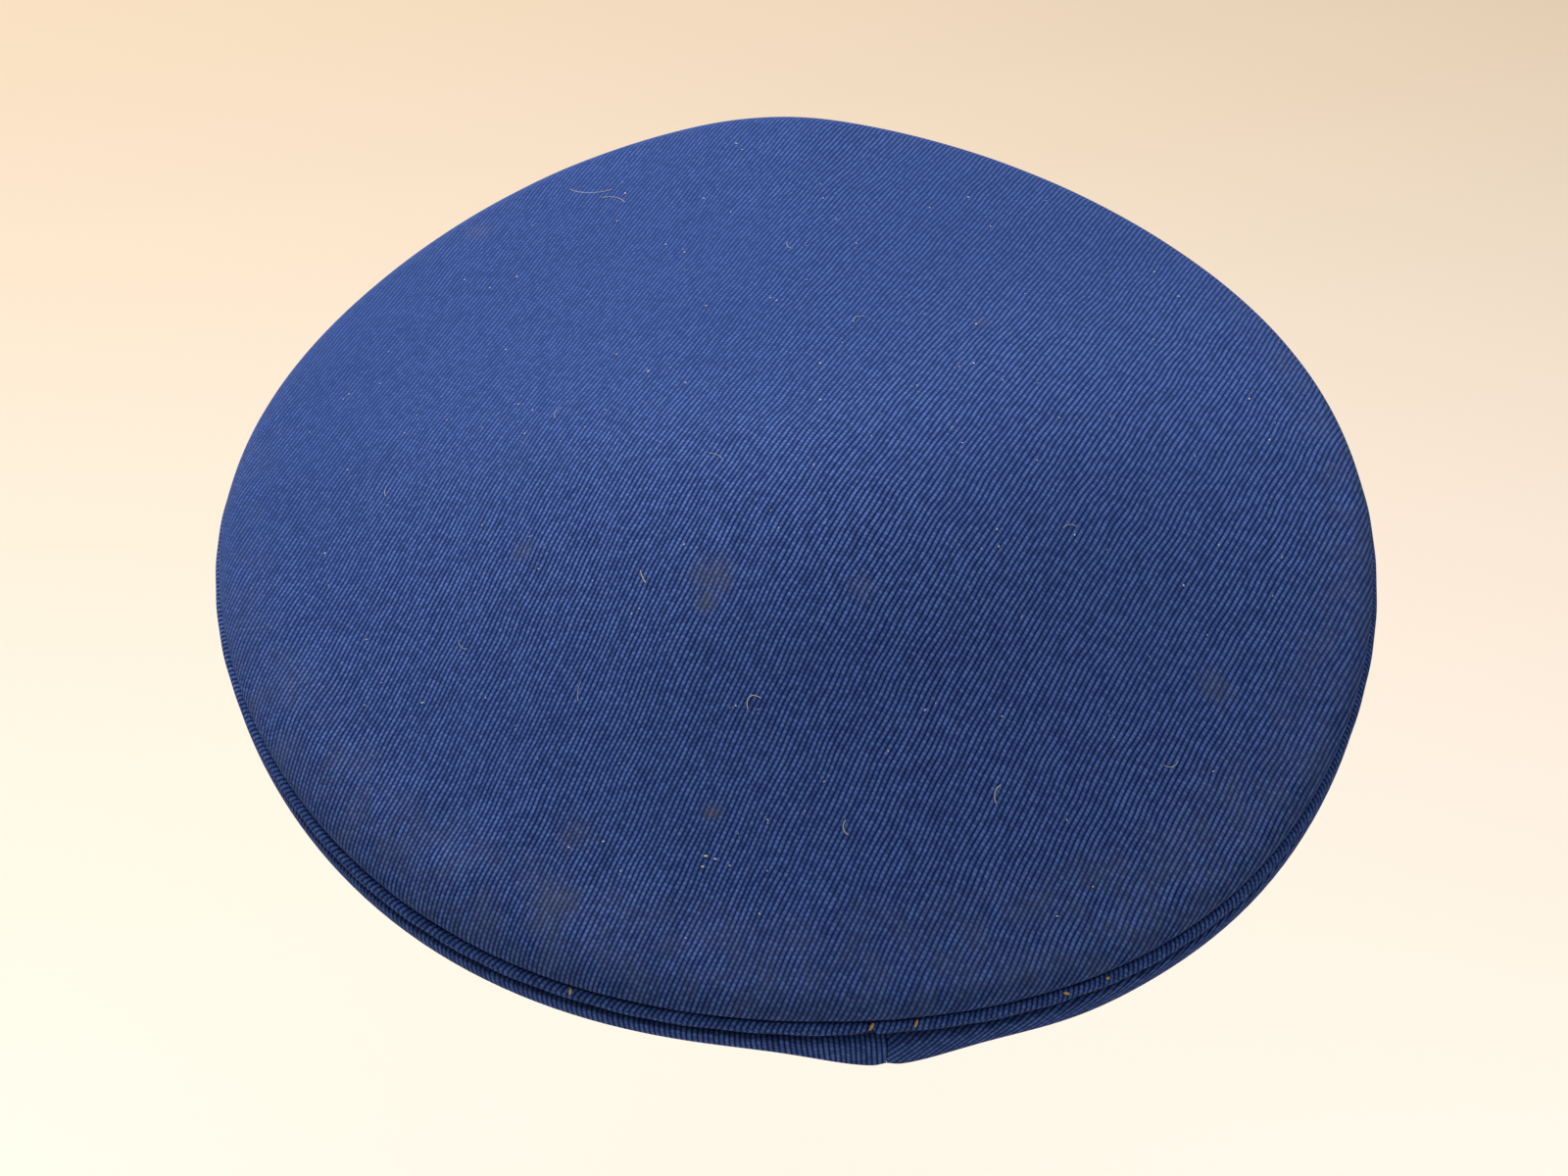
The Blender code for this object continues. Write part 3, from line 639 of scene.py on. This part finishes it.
canvas = makePlain("duck_canvas", (0.36, 0.30, 0.20), (0.50, 0.44, 0.32), 1.2, 0.9, 0.2 * mm)
wadding = makePlain("felt_wadding", (0.55, 0.53, 0.48), (0.70, 0.68, 0.63), 0.6, 0.95, 0.5 * mm)
fibreBoard = makePlain("fibre_board", (0.08, 0.055, 0.035), (0.14, 0.10, 0.065), 0.8, 0.7)
reedPlastic = makePlain("reed_plastic", (0.50, 0.46, 0.35), (0.60, 0.55, 0.42), 0.3, 0.4)
labelTape = makePlain("label_tape", (0.66, 0.65, 0.60), (0.82, 0.81, 0.77), 2.0, 0.8)
print("finishes made")


# Crown

crownTop = gridPiece(
    "crown_cloth", 360, 88, lambda u, v: crownPoint(u * fullTurn, v), clothFlat, joined=("round",)
)
thicken(crownTop, crown["cloth"])
hand(crownTop, twillCrown, "root", ["crown_top"])

piping = {"radius": 1.5 * mm, "joint": math.radians(178.2), "tuck": 0.9 * mm}


def pipingPoint(u, v):  # starts and ends at the back joint; the end tapers under the start
    angle = piping["joint"] + u * (fullTurn + math.radians(2.2))
    left = (1 - u) * fullTurn * crown["radius"]
    begun = u * fullTurn * crown["radius"]
    tail = np.exp(-((left / (6 * mm)) ** 2))
    nose = np.sqrt(np.clip(begun / (1.6 * mm), 0, 1) * (2 - np.clip(begun / (1.6 * mm), 0, 1)))
    ends = nose * np.clip(left / (1.2 * mm), 0, 1) ** 0.5
    radius = piping["radius"] * (1 - 0.35 * tail) * ends
    radius = radius + 0.05 * mm * np.sin(angle * 61) * ends + 0.04 * mm * np.sin(angle * 23 + 1) * ends
    centreRadius = crownRadius(angle) - piping["radius"] - piping["tuck"] * tail
    centre = polar(angle, centreRadius, rimHeight(angle) - 0.5 * mm * tail)
    outward = polar(angle, np.ones_like(angle), np.zeros_like(angle))
    return tubePoints(centre, outward, radius[..., None], v)


pipingCord = gridPiece("piping_cord", 480, 16, pipingPoint, clothRound, joined=("section",))
hand(pipingCord, twillPiping, "root", ["crown_piping"])

quarterPieces = (
    ("front_left_panel", "front_left_quarter", 0, twillSlanted, clothTurning),
    ("rear_left_panel", "rear_left_quarter", 1, twillUpright, clothHung),
    ("rear_right_panel", "rear_right_quarter", 2, twillSlanted, clothTurning),
    ("front_right_panel", "front_right_quarter", 3, twillUpright, clothHung),
)
seamGap = math.radians(0.04)
for name, node, k, twill, cut in quarterPieces:
    start, end = k * math.pi / 2 + seamGap, (k + 1) * math.pi / 2 - seamGap

    def panelPoint(u, v, start=start, end=end):
        eased = u - 0.9 * np.sin(fullTurn * u) / fullTurn  # columns crowd towards the seams
        return quarterPoint(start + (end - start) * eased, v)

    panel = gridPiece(name, 90, 56, panelPoint, cut)
    thicken(panel, crown["cloth"])
    hand(panel, twill, "root", [node])
print("crown made")


# Band

band = {"cloth": 1.0 * mm, "bulge": 0.35 * mm, "seam": 0.5 * mm, "wave": 0.12 * mm}
button = {  # heights are out of the band's face
    "angle": 70, "height": 12 * mm, "radius": 7.5 * mm, "base": 4.4 * mm, "rim": 0.6 * mm,
    "domeIn": 1.2 * mm, "domeFoot": 1.1 * mm, "dome": 3.5 * mm, "neck": (0.1 * mm, 0.9 * mm),
    "shank": 1.5 * mm, "end": -5.6 * mm, "slotHeight": -4.25 * mm, "slot": (1.9 * mm, 6 * mm, 1.5 * mm),
    "bandHole": 2.1 * mm, "eye": 2.3 * mm,
}


def bandSpot(degrees, height):  # a place on the band's face, with Z out of it
    angle = math.radians(degrees)
    point = Vector((bandWide * math.sin(angle), -bandLong * math.cos(angle), height))
    normal = Vector((math.sin(angle) / bandWide, -math.cos(angle) / bandLong, 0)).normalized()
    return facing(point, normal)


def drill(piece, radius, depth, sides=(1, -1)):  # holes for the button shanks
    for side in sides:
        deselectAll()
        bpy.ops.mesh.primitive_cylinder_add(vertices=32, radius=radius, depth=depth)
        cutWith(piece, bpy.context.object, bandSpot(side * button["angle"], button["height"]))


def bandPoint(u, v):
    angle = u * fullTurn
    seam = hump(angle, 180, 0.7)
    out = band["bulge"] * np.sin(math.pi * v) - band["seam"] * seam + band["wave"] * np.sin(9 * angle)
    return onOval(angle, bandWide + out, bandLong + out, bandLow + (bandHigh - bandLow) * v)


bandCloth = gridPiece("band_cloth", 240, 16, bandPoint, clothRound, joined=("round",))
thicken(bandCloth, band["cloth"])
drill(bandCloth, button["bandHole"], 6 * mm)
hand(bandCloth, twillBand, "root", ["cap_band"])

bandCord = {"radius": 1.15 * mm, "rise": 1.5 * mm}


def ovalNormal(angle, wide, long):
    outward = np.stack([np.sin(angle) / wide, -np.cos(angle) / long, 0 * angle], -1)
    return outward / np.linalg.norm(outward, axis=-1, keepdims=True)


def bandCordPoint(u, v):
    angle = u * fullTurn
    centre = onOval(angle, bandWide, bandLong, bandHigh + bandCord["rise"])
    return tubePoints(centre, ovalNormal(angle, bandWide, bandLong), bandCord["radius"], v)


bandPiping = gridPiece("band_cord", 300, 12, bandCordPoint, clothRound, joined=("round", "section"))
hand(bandPiping, twillPiping, "root", ["band_top_piping"])
print("band made")


# Visor

visor = {
    "rootOut": 0.5 * mm, "rootHeight": 2 * mm, "spread": math.radians(67.5),
    "reach": 47.5 * mm, "endReach": 4 * mm, "slope": math.radians(33), "sideSlope": math.radians(10),
    "camber": 1.8 * mm, "board": 1.8 * mm, "gap": 0.3 * mm, "cloth": 0.8 * mm,
    "boardWall": 1.5 * mm, "clothWall": 0.65 * mm, "edge": 0.4 * mm,
}
visorStack = visor["board"] + visor["gap"] + visor["cloth"]


def visorLine(angle):  # the root, the step outwards and the reach of the visor at an angle
    share = np.abs(angle) / visor["spread"]
    reach = visor["endReach"] + visor["reach"] * np.clip(1 - share**2.4, 0, 1) ** 0.8
    slope = visor["slope"] + visor["sideSlope"] * share * share
    ahead = np.stack([0.55 * np.sin(angle), -np.cos(angle), 0 * angle], -1)
    ahead = ahead / np.linalg.norm(ahead, axis=-1, keepdims=True)
    step = ahead * np.cos(slope)[..., None] - np.array([0, 0, 1.0]) * np.sin(slope)[..., None]
    root = onOval(angle, bandWide + visor["rootOut"], bandLong + visor["rootOut"], visor["rootHeight"])
    return root, step, reach[..., None]


def visorPoint(u, v, depth=0.0):  # v runs from the edge (0) to the band (1)
    root, step, reach = visorLine((2 * u - 1) * visor["spread"])
    share = (1 - v)[..., None]
    rise = visor["camber"] * np.sin(math.pi * share) * reach / visor["reach"] - depth
    return root + step * reach * share + np.array([0, 0, 1.0]) * rise


def roundEdges(piece, width, segments=3):
    applyModifier(piece, "BEVEL", width=width, segments=segments, limit_method="ANGLE", harden_normals=False)


visorBoard = gridPiece("visor_board", 96, 20, visorPoint, clothRound)
thicken(visorBoard, visor["boardWall"])
roundEdges(visorBoard, visor["edge"])
hand(visorBoard, lacquerBlack, "root", ["visor_shell"])

underDepth = visor["board"] + visor["gap"]
visorUnder = gridPiece("visor_underside", 96, 20, lambda u, v: visorPoint(u, v, underDepth), clothRound)
thicken(visorUnder, visor["clothWall"])
hand(visorUnder, greenCloth, "root", ["visor_lining"])

binding = {"leg": 3.2 * mm, "over": 1.0 * mm, "out": 1.0 * mm, "back": 0.5 * mm, "wall": 0.55 * mm}


def bindingPoint(u, v):  # a U round the visor's edge, from its lower leg to its upper one
    root, step, reach = visorLine((2 * u - 1) * visor["spread"])
    turn = np.clip((v - 0.3) / 0.4, 0, 1)
    lower, upper = np.clip(1 - v / 0.3, 0, 1), np.clip((v - 0.7) / 0.3, 0, 1)
    half = visorStack / 2 + binding["over"]
    bend = binding["out"] + binding["back"]
    legs = (binding["leg"] - binding["back"]) * (lower + upper)
    out = -binding["back"] + bend * np.sin(math.pi * turn) - legs
    up = -visorStack / 2 - half * np.cos(math.pi * turn)
    return root + step * (reach + out[..., None]) + np.array([0, 0, 1.0]) * up[..., None]


visorBinding = gridPiece("visor_edge_binding", 120, 24, bindingPoint, clothRound)
thicken(visorBinding, binding["wall"])
hand(visorBinding, lacquerBlack, "root", ["visor_binding"])
print("visor made")


# Chin strap, its keepers and the side buttons

strap = {
    "height": 12 * mm, "half": 7 * mm, "thick": 1.4 * mm, "standoff": 2.6 * mm, "gap": 0.4 * mm,
    "innerEnd": 44, "taper": 68, "tip": 76, "grooveIn": 1.5 * mm, "grooveDeep": 0.22 * mm,
    "grooveHalf": 0.35 * mm, "slack": 0.1 * mm, "edge": 0.35 * mm,
}


def strapPoint(u, v, side, outer):
    start, end = (-strap["innerEnd"], strap["tip"]) if side > 0 else (-strap["tip"], strap["innerEnd"])
    degrees = start + (end - start) * u
    over = np.clip((degrees + 60) / 10, 0, 1)
    lift = (strap["thick"] + strap["gap"]) * over**2 * (3 - 2 * over) if outer else 0 * u
    taper = strap["taper"]
    pastEye = np.clip(np.abs(degrees) - taper, 0, None) / (strap["tip"] - taper) * (degrees * side > 0)
    half = strap["half"] * np.sqrt(1 - 0.75 * pastEye**2)
    across = (2 * v - 1) * half
    groove = np.exp(-(((half - strap["grooveIn"] - np.abs(across)) / strap["grooveHalf"]) ** 2))
    out = strap["standoff"] + strap["thick"] + lift - strap["grooveDeep"] * groove
    return onOval(np.radians(degrees), bandWide + out, bandLong + out, strap["height"] + across)


for name, node, side, outer in (
    ("strap_left_leather", "strap_left", 1, False), ("strap_right_leather", "strap_right", -1, True),
):
    def stripPoint(u, v, side=side, outer=outer):
        return strapPoint(u, v, side, outer)

    strip = gridPiece(name, 120, 40, stripPoint, clothRound)
    thicken(strip, strap["thick"] - strap["slack"])
    roundEdges(strip, strap["edge"], 2)
    drill(strip, button["eye"], 16 * mm, (side,))
    hand(strip, lacquerStrap, "chin_strap", [node])

keeper = {
    "angle": 38, "width": 6 * mm, "bore": 4.0 * mm, "boreHeight": 14.8 * mm, "wall": 0.7 * mm,
    "middle": 4.2 * mm, "edge": 0.3 * mm,
}
for name, node, body, side in (
    ("keeper_left", "left_slider", "left_slider_body", 1),
    ("keeper_right", "right_slider", "right_slider_body", -1),
):
    deselectAll()
    bpy.ops.mesh.primitive_cube_add(size=1)
    loop = bpy.context.object
    loop.name = loop.data.name = name
    wall = 2 * keeper["wall"]
    size = (keeper["width"], keeper["boreHeight"] + wall, keeper["bore"] + wall)
    loop.data.transform(Matrix.Diagonal((*size, 1)))
    pickFaces(loop, lambda centre, normal: abs(normal.x) > 0.9)
    bpy.ops.mesh.inset(thickness=keeper["wall"])
    bpy.ops.mesh.bridge_edge_loops()
    bpy.ops.object.mode_set(mode="OBJECT")
    place = bandSpot(side * keeper["angle"], strap["height"])
    loop.data.transform(place @ Matrix.Translation((0, 0, keeper["middle"])))
    roundEdges(loop, keeper["edge"])
    hand(loop, brassGilt, body, [node])

base, wide, rim = button["base"], button["radius"], button["rim"]
domeWide = wide - button["domeIn"]
neckOut, neckUp = button["neck"]
buttonProfile = [
    (domeWide * math.sin(t), base + button["domeFoot"] + button["dome"] * math.cos(t))
    for t in (k * math.pi / 24 for k in range(13))
]
buttonProfile += [(domeWide + neckOut, base + neckUp)]
buttonProfile += [
    (wide - rim + rim * math.sin(t), base + rim + rim * math.cos(t))
    for t in (k * math.pi / 8 for k in range(-1, 9))
]
buttonProfile += [(button["shank"], base), (button["shank"], button["end"]), (0, button["end"])]
for name, node, body, side in (
    ("button_left", "left_button", "left_button_body", 1),
    ("button_right", "right_button", "right_button_body", -1),
):
    stud = turnedPiece(name, buttonProfile)
    deselectAll()
    bpy.ops.mesh.primitive_cube_add(size=1)
    slot = Matrix.Translation((0, 0, button["slotHeight"])) @ Matrix.Diagonal((*button["slot"], 1))
    cutWith(stud, bpy.context.object, slot)
    stud.data.transform(bandSpot(side * button["angle"], button["height"]))
    hand(stud, brassGilt, body, [node])
print("strap and buttons made")


# Sweatband, lining and what is sewn to them

sweat = {"wide": 82.6 * mm, "long": 100.1 * mm, "high": 38 * mm, "wall": 1.0 * mm, "edge": 0.3 * mm}


def sweatPoint(u, v):
    angle = u * fullTurn
    lean = 0.5 * mm * np.sin(6 * angle + 1) * v**2 - 0.6 * mm * v**3
    seam = 0.35 * mm * hump(angle, 180, 0.6)
    roll = 0.5 * mm * np.clip(1 - v * 16, 0, 1) ** 2
    out = lean - seam - roll
    height = sweat["high"] * v + 0.3 * mm * np.sin(5 * angle) * v
    return onOval(angle, sweat["wide"] + out, sweat["long"] + out, height)


sweatLeather = gridPiece("sweatband_leather", 240, 24, sweatPoint, clothRound, joined=("round",))
thicken(sweatLeather, sweat["wall"])
roundEdges(sweatLeather, sweat["edge"], 2)
hand(sweatLeather, leatherTan, "root", ["sweatband"])

reed = {"wide": 84.2 * mm, "long": 101.7 * mm, "radius": 0.95 * mm, "height": 1.3 * mm}


def reedPoint(u, v):
    angle = u * fullTurn
    centre = onOval(angle, reed["wide"], reed["long"], reed["height"])
    return tubePoints(centre, ovalNormal(angle, reed["wide"], reed["long"]), reed["radius"], v)


reedCord = gridPiece("sweatband_reed_cord", 240, 10, reedPoint, clothRound, joined=("round", "section"))
hand(reedCord, reedPlastic, "root", ["sweatband_reed"])

lining = {
    "wide": 84.9 * mm, "long": 102.4 * mm, "low": 34 * mm, "depth": 6.2 * mm, "wall": 0.4 * mm,
    "gather": 0.6 * mm, "gathers": 58, "topWide": 85.6 * mm, "topLong": 103.1 * mm, "topDepth": 5.0 * mm,
    "pucker": 0.25 * mm,
}
shield = {"share": 0.6, "depth": 6.6 * mm, "wall": 0.25 * mm}


def underDome(angle, wide, long, share, depth):
    x, y = wide * share * np.sin(angle), -long * share * np.cos(angle)
    return np.stack([x, y, domeHeight(np.arctan2(x, -y), np.hypot(x, y)) - depth], -1)


def liningWallPoint(u, v):
    angle = u * fullTurn
    high = underDome(angle, lining["wide"], lining["long"], 1, lining["depth"])
    foot = onOval(angle, lining["wide"], lining["long"], lining["low"])
    gather = np.sin(lining["gathers"] * angle + 2 * np.sin(7 * angle)) * 0.5 + 0.5
    inward = ovalNormal(angle, lining["wide"], lining["long"]) * (lining["gather"] * gather * v)[..., None]
    return foot + (high - foot) * v[..., None] - inward


liningWall = gridPiece("lining_wall", 480, 20, liningWallPoint, clothRound, joined=("round",))
thicken(liningWall, lining["wall"])
hand(liningWall, satinGrey, "root", ["lining_side"])


def liningTopPoint(u, v):
    angle = u * fullTurn
    point = underDome(angle, lining["topWide"], lining["topLong"], 1 - v, lining["topDepth"])
    pucker = np.sin(lining["gathers"] * angle) * np.exp(-v / 0.08) * lining["pucker"]
    return point - np.array([0, 0, 1.0]) * (lining["pucker"] + pucker)[..., None]


liningTop = gridPiece("lining_crown", 480, 24, liningTopPoint, clothFlat, joined=("round",))
thicken(liningTop, lining["wall"])
hand(liningTop, satinGrey, "root", ["lining_top"])


def shieldPoint(u, v):
    angle = u * fullTurn
    share = shield["share"] * (1 - v) * (1 - 0.02 * np.cos(4 * angle))
    return underDome(angle, lining["topWide"], lining["topLong"], share, shield["depth"])


shieldFilm = gridPiece("sweat_shield_film", 160, 12, shieldPoint, clothFlat, joined=("round",))
thicken(shieldFilm, shield["wall"])
hand(shieldFilm, filmClear, "root", ["sweat_shield"])


label = {
    "from": 140, "over": 12, "wide": 81.1 * mm, "long": 98.6 * mm,
    "low": 12.2, "high": 11.6, "wall": 0.3 * mm,
}


def tagPoint(u, v):
    angle = np.radians(label["from"] + label["over"] * u)
    curl = 0.35 * mm * (2 * u - 1) ** 4 + 0.15 * mm * np.sin(5 * u + 3 * v)
    return onOval(angle, label["wide"] - curl, label["long"] - curl, (label["low"] + label["high"] * v) * mm)


tag = gridPiece("size_tag_tape", 24, 20, tagPoint, clothRound)
thicken(tag, label["wall"])
hand(tag, labelTape, "root", ["size_tag"])

bow = {"back": 97.3 * mm, "height": 9 * mm, "half": 8.2 * mm, "wing": 3.4 * mm, "deep": 0.38 * mm,
       "waist": 0.7 * mm, "knot": (1.3 * mm, 0.55 * mm, 1.5 * mm)}


def wingPoint(u, v, side):
    turn = v * fullTurn * side
    opened = np.sin(math.pi * 0.5 * np.clip(u / 0.75, 0, 1))
    half = (bow["waist"] + (bow["wing"] - bow["waist"]) * opened) * (1 - 0.12 * u**6)
    crimp = 1 + 0.10 * np.sin(3 * turn) * (1 - u)
    x = side * (0.6 * mm + bow["half"] * u * (1 - 0.06 * np.cos(2 * turn)))
    y = bow["back"] - bow["deep"] * (0.25 + 0.75 * np.sin(math.pi * u) ** 0.6) * np.sin(turn) * side
    return np.stack([x, y + 0 * x, bow["height"] + half * crimp * np.cos(turn)], -1)


wings = []
for side in (1, -1):
    def wing(u, v, side=side):
        return wingPoint(u, v, side)

    wings.append(gridPiece("sweatband_ribbon_bow", 24, 32, wing, clothRound, joined=("section",)))
knot = smallBall(bow["knot"], 16, 10)
knot.data.transform(Matrix.Translation((0, bow["back"] - 0.1 * mm, bow["height"])))
choose(*wings, knot)
bpy.ops.object.join()
bpy.ops.object.mode_set(mode="EDIT")
bpy.ops.mesh.select_all(action="SELECT")
bpy.ops.mesh.fill_holes(sides=0)
bpy.ops.object.mode_set(mode="OBJECT")
hand(wings[0], satinGrey, "root", ["sweatband_bow"])

stitch = {
    "size": (1.15 * mm, 0.2 * mm, 0.2 * mm), "in": 1.15 * mm, "height": 3.2 * mm,
    "sweatStep": 3.2 * mm, "visorStep": 3.0 * mm,
}
around = np.linspace(0, fullTurn, 721)
sweatLine = onOval(around, sweat["wide"] - stitch["in"], sweat["long"] - stitch["in"], stitch["height"])
inwards = -ovalNormal(around, sweat["wide"], sweat["long"])
sweatPlaces = evenPlaces(sweatLine, stitch["sweatStep"], inwards)
sweatStitches = strewn("sweatband_stitches", smallBall(stitch["size"]), sweatPlaces)
hand(sweatStitches, threadTan, "root")

spread = np.linspace(0.01, 0.99, 400)
bindingLine = bindingPoint(spread, np.full(400, 0.93))
upwards = np.tile([0, 0, 1.0], (400, 1))
bindingPlaces = evenPlaces(bindingLine, stitch["visorStep"], upwards)
bindingStitches = strewn("visor_stitches", smallBall(stitch["size"]), bindingPlaces)
hand(bindingStitches, threadDark, "root")
print("inside made")


# Lint, straw and dust that sit on the cloth

def onCrown(x, y, lift=0.0):  # a place on the top cloth, in mm, with Z out of it
    angle, radius = math.atan2(x, -y), math.hypot(x, y) * mm
    heights = []
    for dx, dy in ((0, 0), (0.5, 0), (0, 0.5)):
        a, r = math.atan2(x + dx, -(y + dy)), math.hypot(x + dx, y + dy) * mm
        edge = float(crownRadius(a)) - crown["widestInset"] - crown["rollWidth"]
        heights.append(float(domeHeight(a, r)) if r < edge else float(domeHeight(a, r)) - 0.4 * mm)
    slopeX, slopeY = (heights[1] - heights[0]) / (0.5 * mm), (heights[2] - heights[0]) / (0.5 * mm)
    normal = Vector((-slopeX, -slopeY, 1)).normalized()
    slack = float(slackAt(x * mm, y * mm))
    point = Vector((x * mm, y * mm, heights[0] + crown["slack"] * slack)) + normal * lift
    return point, normal


hairs = (  # place in mm, length, turn in degrees, bend in degrees, thickness
    (42, 39, 3.6, 104, 8, 0.10), (22, 71, 6.5, 28, 55, 0.09), (-31, 94, 5.0, 66, 30, 0.09),
    (5, 101, 4.0, 92, 40, 0.10), (37, -113, 12, 155, 20, 0.07), (30, -109, 8, 140, -30, 0.07),
    (20, 10, 5, 130, -25, 0.05), (-60, 30, 4, 15, 30, 0.05), (60, 60, 4.5, 75, 20, 0.05),
    (-20, -40, 5, 40, 40, 0.05), (85, 40, 4, 120, 30, 0.05), (-75, 85, 4.5, 20, -30, 0.05),
    (56, -20, 5, 60, 35, 0.05), (-8, -72, 4, 100, 30, 0.05), (98, -12, 4, 80, 20, 0.05),
)


def hairPiece(x, y, length, turn, bend, thick):
    bpy.ops.curve.primitive_bezier_curve_add()
    hair = bpy.context.object
    hair.data.bevel_depth = thick * mm
    hair.data.bevel_resolution = 1
    hair.data.use_fill_caps = True
    hair.data.resolution_u = 8
    half = length / 2
    ends = []
    for side in (-1, 1):
        heading = math.radians(turn + side * bend)
        ends.append((x + side * half * math.cos(heading), y + side * half * math.sin(heading)))
    for node, (endX, endY) in zip(hair.data.splines[0].bezier_points, ends):
        node.handle_left_type = node.handle_right_type = "FREE"
        node.co = onCrown(endX, endY, 0.25 * mm)[0]
        inX, inY = endX + (x - endX) * 0.5, endY + (y - endY) * 0.5
        swing = math.radians(bend) * half * 0.4
        inX += swing * math.sin(math.radians(turn))
        inY -= swing * math.cos(math.radians(turn))
        handle = onCrown(inX, inY, 0.12 * mm)[0]
        node.handle_left = node.handle_right = handle
    bpy.ops.object.convert(target="MESH")
    return bpy.context.object


strands = []
for row in hairs:
    deselectAll()
    strands.append(hairPiece(*row))
choose(*strands)
bpy.ops.object.join()
strands[0].name = strands[0].data.name = "lint_hairs"
hand(strands[0], lintPale, "root")

specks = {"seed": 7, "count": 170, "reach": 131, "within": 0.93, "sizes": (0.09, 0.22)}
chance = np.random.default_rng(specks["seed"])
dustPlaces = []
for k in range(specks["count"]):
    angle, share = chance.uniform(0, fullTurn), math.sqrt(chance.uniform(0.0, specks["within"]))
    x, y = specks["reach"] * share * math.sin(angle), -specks["reach"] * share * math.cos(angle)
    point, normal = onCrown(x, y, 0.08 * mm)
    size = chance.uniform(*specks["sizes"]) * mm
    stretch = Matrix.Diagonal((size * chance.uniform(0.8, 2.2), size, size * 0.6, 1))
    spin = Matrix.Rotation(chance.uniform(0, math.pi), 4, "Z")
    dustPlaces.append(facing(point, normal) @ spin @ stretch)
for x, y, size in (  # the larger specks, in mm
    (-115, -19, 0.42), (-117, -5, 0.4), (-50, -38, 0.42), (-90, -99, 0.42), (36, 102, 0.5), (34, 103, 0.4),
    (37, 104, 0.45), (-9, -132, 0.35), (15, -51, 0.3), (66, 93, 0.3),
):
    point, normal = onCrown(x, y, 0.1 * mm)
    shape = Matrix.Diagonal((size * mm, size * mm * 0.6, size * mm * 0.4, 1))
    dustPlaces.append(facing(point, normal) @ shape)
deselectAll()
bpy.ops.mesh.primitive_ico_sphere_add(subdivisions=1, radius=1)
dust = strewn("dust_specks", bpy.context.object, dustPlaces)
hand(dust, lintPale, "root", angle=20)

strawBits = (  # angle and turn in degrees, half length in mm
    (178.4, 55, 1.0), (182.6, 60, 0.9), (197.5, -25, 0.8), (202, 0, 0.5), (150, 100, 0.8),
)
strawPlaces = []
for degrees, turn, length in strawBits:
    angle = math.radians(degrees)
    spot = polar(np.array(angle), crownRadius(angle) - 0.3 * mm, rimHeight(angle) + 1.45 * mm)
    outward = Vector((math.sin(angle), -math.cos(angle), 1.2)).normalized()
    lay = Matrix.Rotation(math.radians(turn), 4, "Z") @ Matrix.Diagonal((length * mm, 0.34 * mm, 0.2 * mm, 1))
    strawPlaces.append(facing(Vector(spot), outward) @ lay)
straw = strewn("straw_bits", smallBall((1, 1, 1), 8, 6), strawPlaces)
hand(straw, strawGold, "root")
print("lint made")


# Finishes of the frame's own pieces that stay

inner = {
    "crown_interlining": canvas, "edge_roll": wadding, "crown_wire": steelWire, "wire_ferrule": steelWire,
    "band_stiffener": fibreBoard, "front_stay": fibreBoard, "front_stay_spring": steelWire,
    "left_washer": steelWire, "right_washer": steelWire, "left_split_pin": steelWire,
    "right_split_pin": steelWire,
}
for name, material in inner.items():
    for place in nodes[name].material_slots:
        place.material = material


# Floor, light and camera

stage = {
    "floor": -0.25, "size": 40.0, "far": (0.52, 0.42, 0.315), "near": (0.95, 0.87, 0.80), "turn": 1.3,
    "sky": (0.95, 0.92, 0.86), "skyStrength": 0.32,
}
deselectAll()
bpy.ops.mesh.primitive_plane_add(size=stage["size"], location=(0, 0, stage["floor"]))
floor = bpy.context.object
floor.name = "floor"
floorFinish = Finish("floor_paint", Roughness=0.9, Specular_IOR_Level=0.2)
# the floor is painted darker towards the front (-Y) and lighter towards the back, where the camera is:
# painted shade and light across the floor
floorNear = floorFinish.parts(floorFinish.node("TexCoord", output="Object"))[1].ramp(-0.8, -0.06)
floorFinish.set("Base Color", floorFinish.mix(floorNear ** stage["turn"], stage["far"], stage["near"]))
floor.data.materials.append(floorFinish.material)


def addLight(name, place, target, size, power, colour):
    deselectAll()
    bpy.ops.object.light_add(type="AREA", location=place)
    light = bpy.context.object
    light.name = name
    light.data.size = size
    light.data.energy = power
    light.data.color = colour
    aim = (Vector(target) - Vector(place)).to_track_quat("-Z", "Y")
    light.rotation_euler = aim.to_euler()


addLight("window", (0.45, -1.36, 1.2), (0, 0, 0.05), 1.4, 52, (1.0, 0.97, 0.93))
addLight("ceiling", (-0.4, -0.1, 1.9), (0, 0, 0.05), 2.2, 7, (1.0, 0.97, 0.92))
world = bpy.data.worlds.new("room")
bpy.context.scene.world = world
world.use_nodes = True
sky = world.node_tree.nodes["Background"].inputs
sky["Color"].default_value = (*stage["sky"], 1)
sky["Strength"].default_value = stage["skyStrength"]

shot = {"azimuth": 171.5, "elevation": 38, "distance": 1.15, "aim": (0, 0, 0.0615), "lens": 109.2,
        "shiftX": -0.0084, "shiftY": -0.0268}
azimuth, elevation = math.radians(shot["azimuth"]), math.radians(shot["elevation"])
backward = Vector((
    math.sin(azimuth) * math.cos(elevation), -math.cos(azimuth) * math.cos(elevation), math.sin(elevation)
))
deselectAll()
bpy.ops.object.camera_add(location=Vector(shot["aim"]) + backward * shot["distance"])
camera = bpy.context.object
camera.rotation_euler = (-backward).to_track_quat("-Z", "Y").to_euler()
camera.data.lens = shot["lens"]
camera.data.shift_x, camera.data.shift_y = shot["shiftX"], shot["shiftY"]
camera.data.dof.use_dof = False
bpy.context.scene.camera = camera
bpy.context.scene.view_settings.view_transform = "Standard"
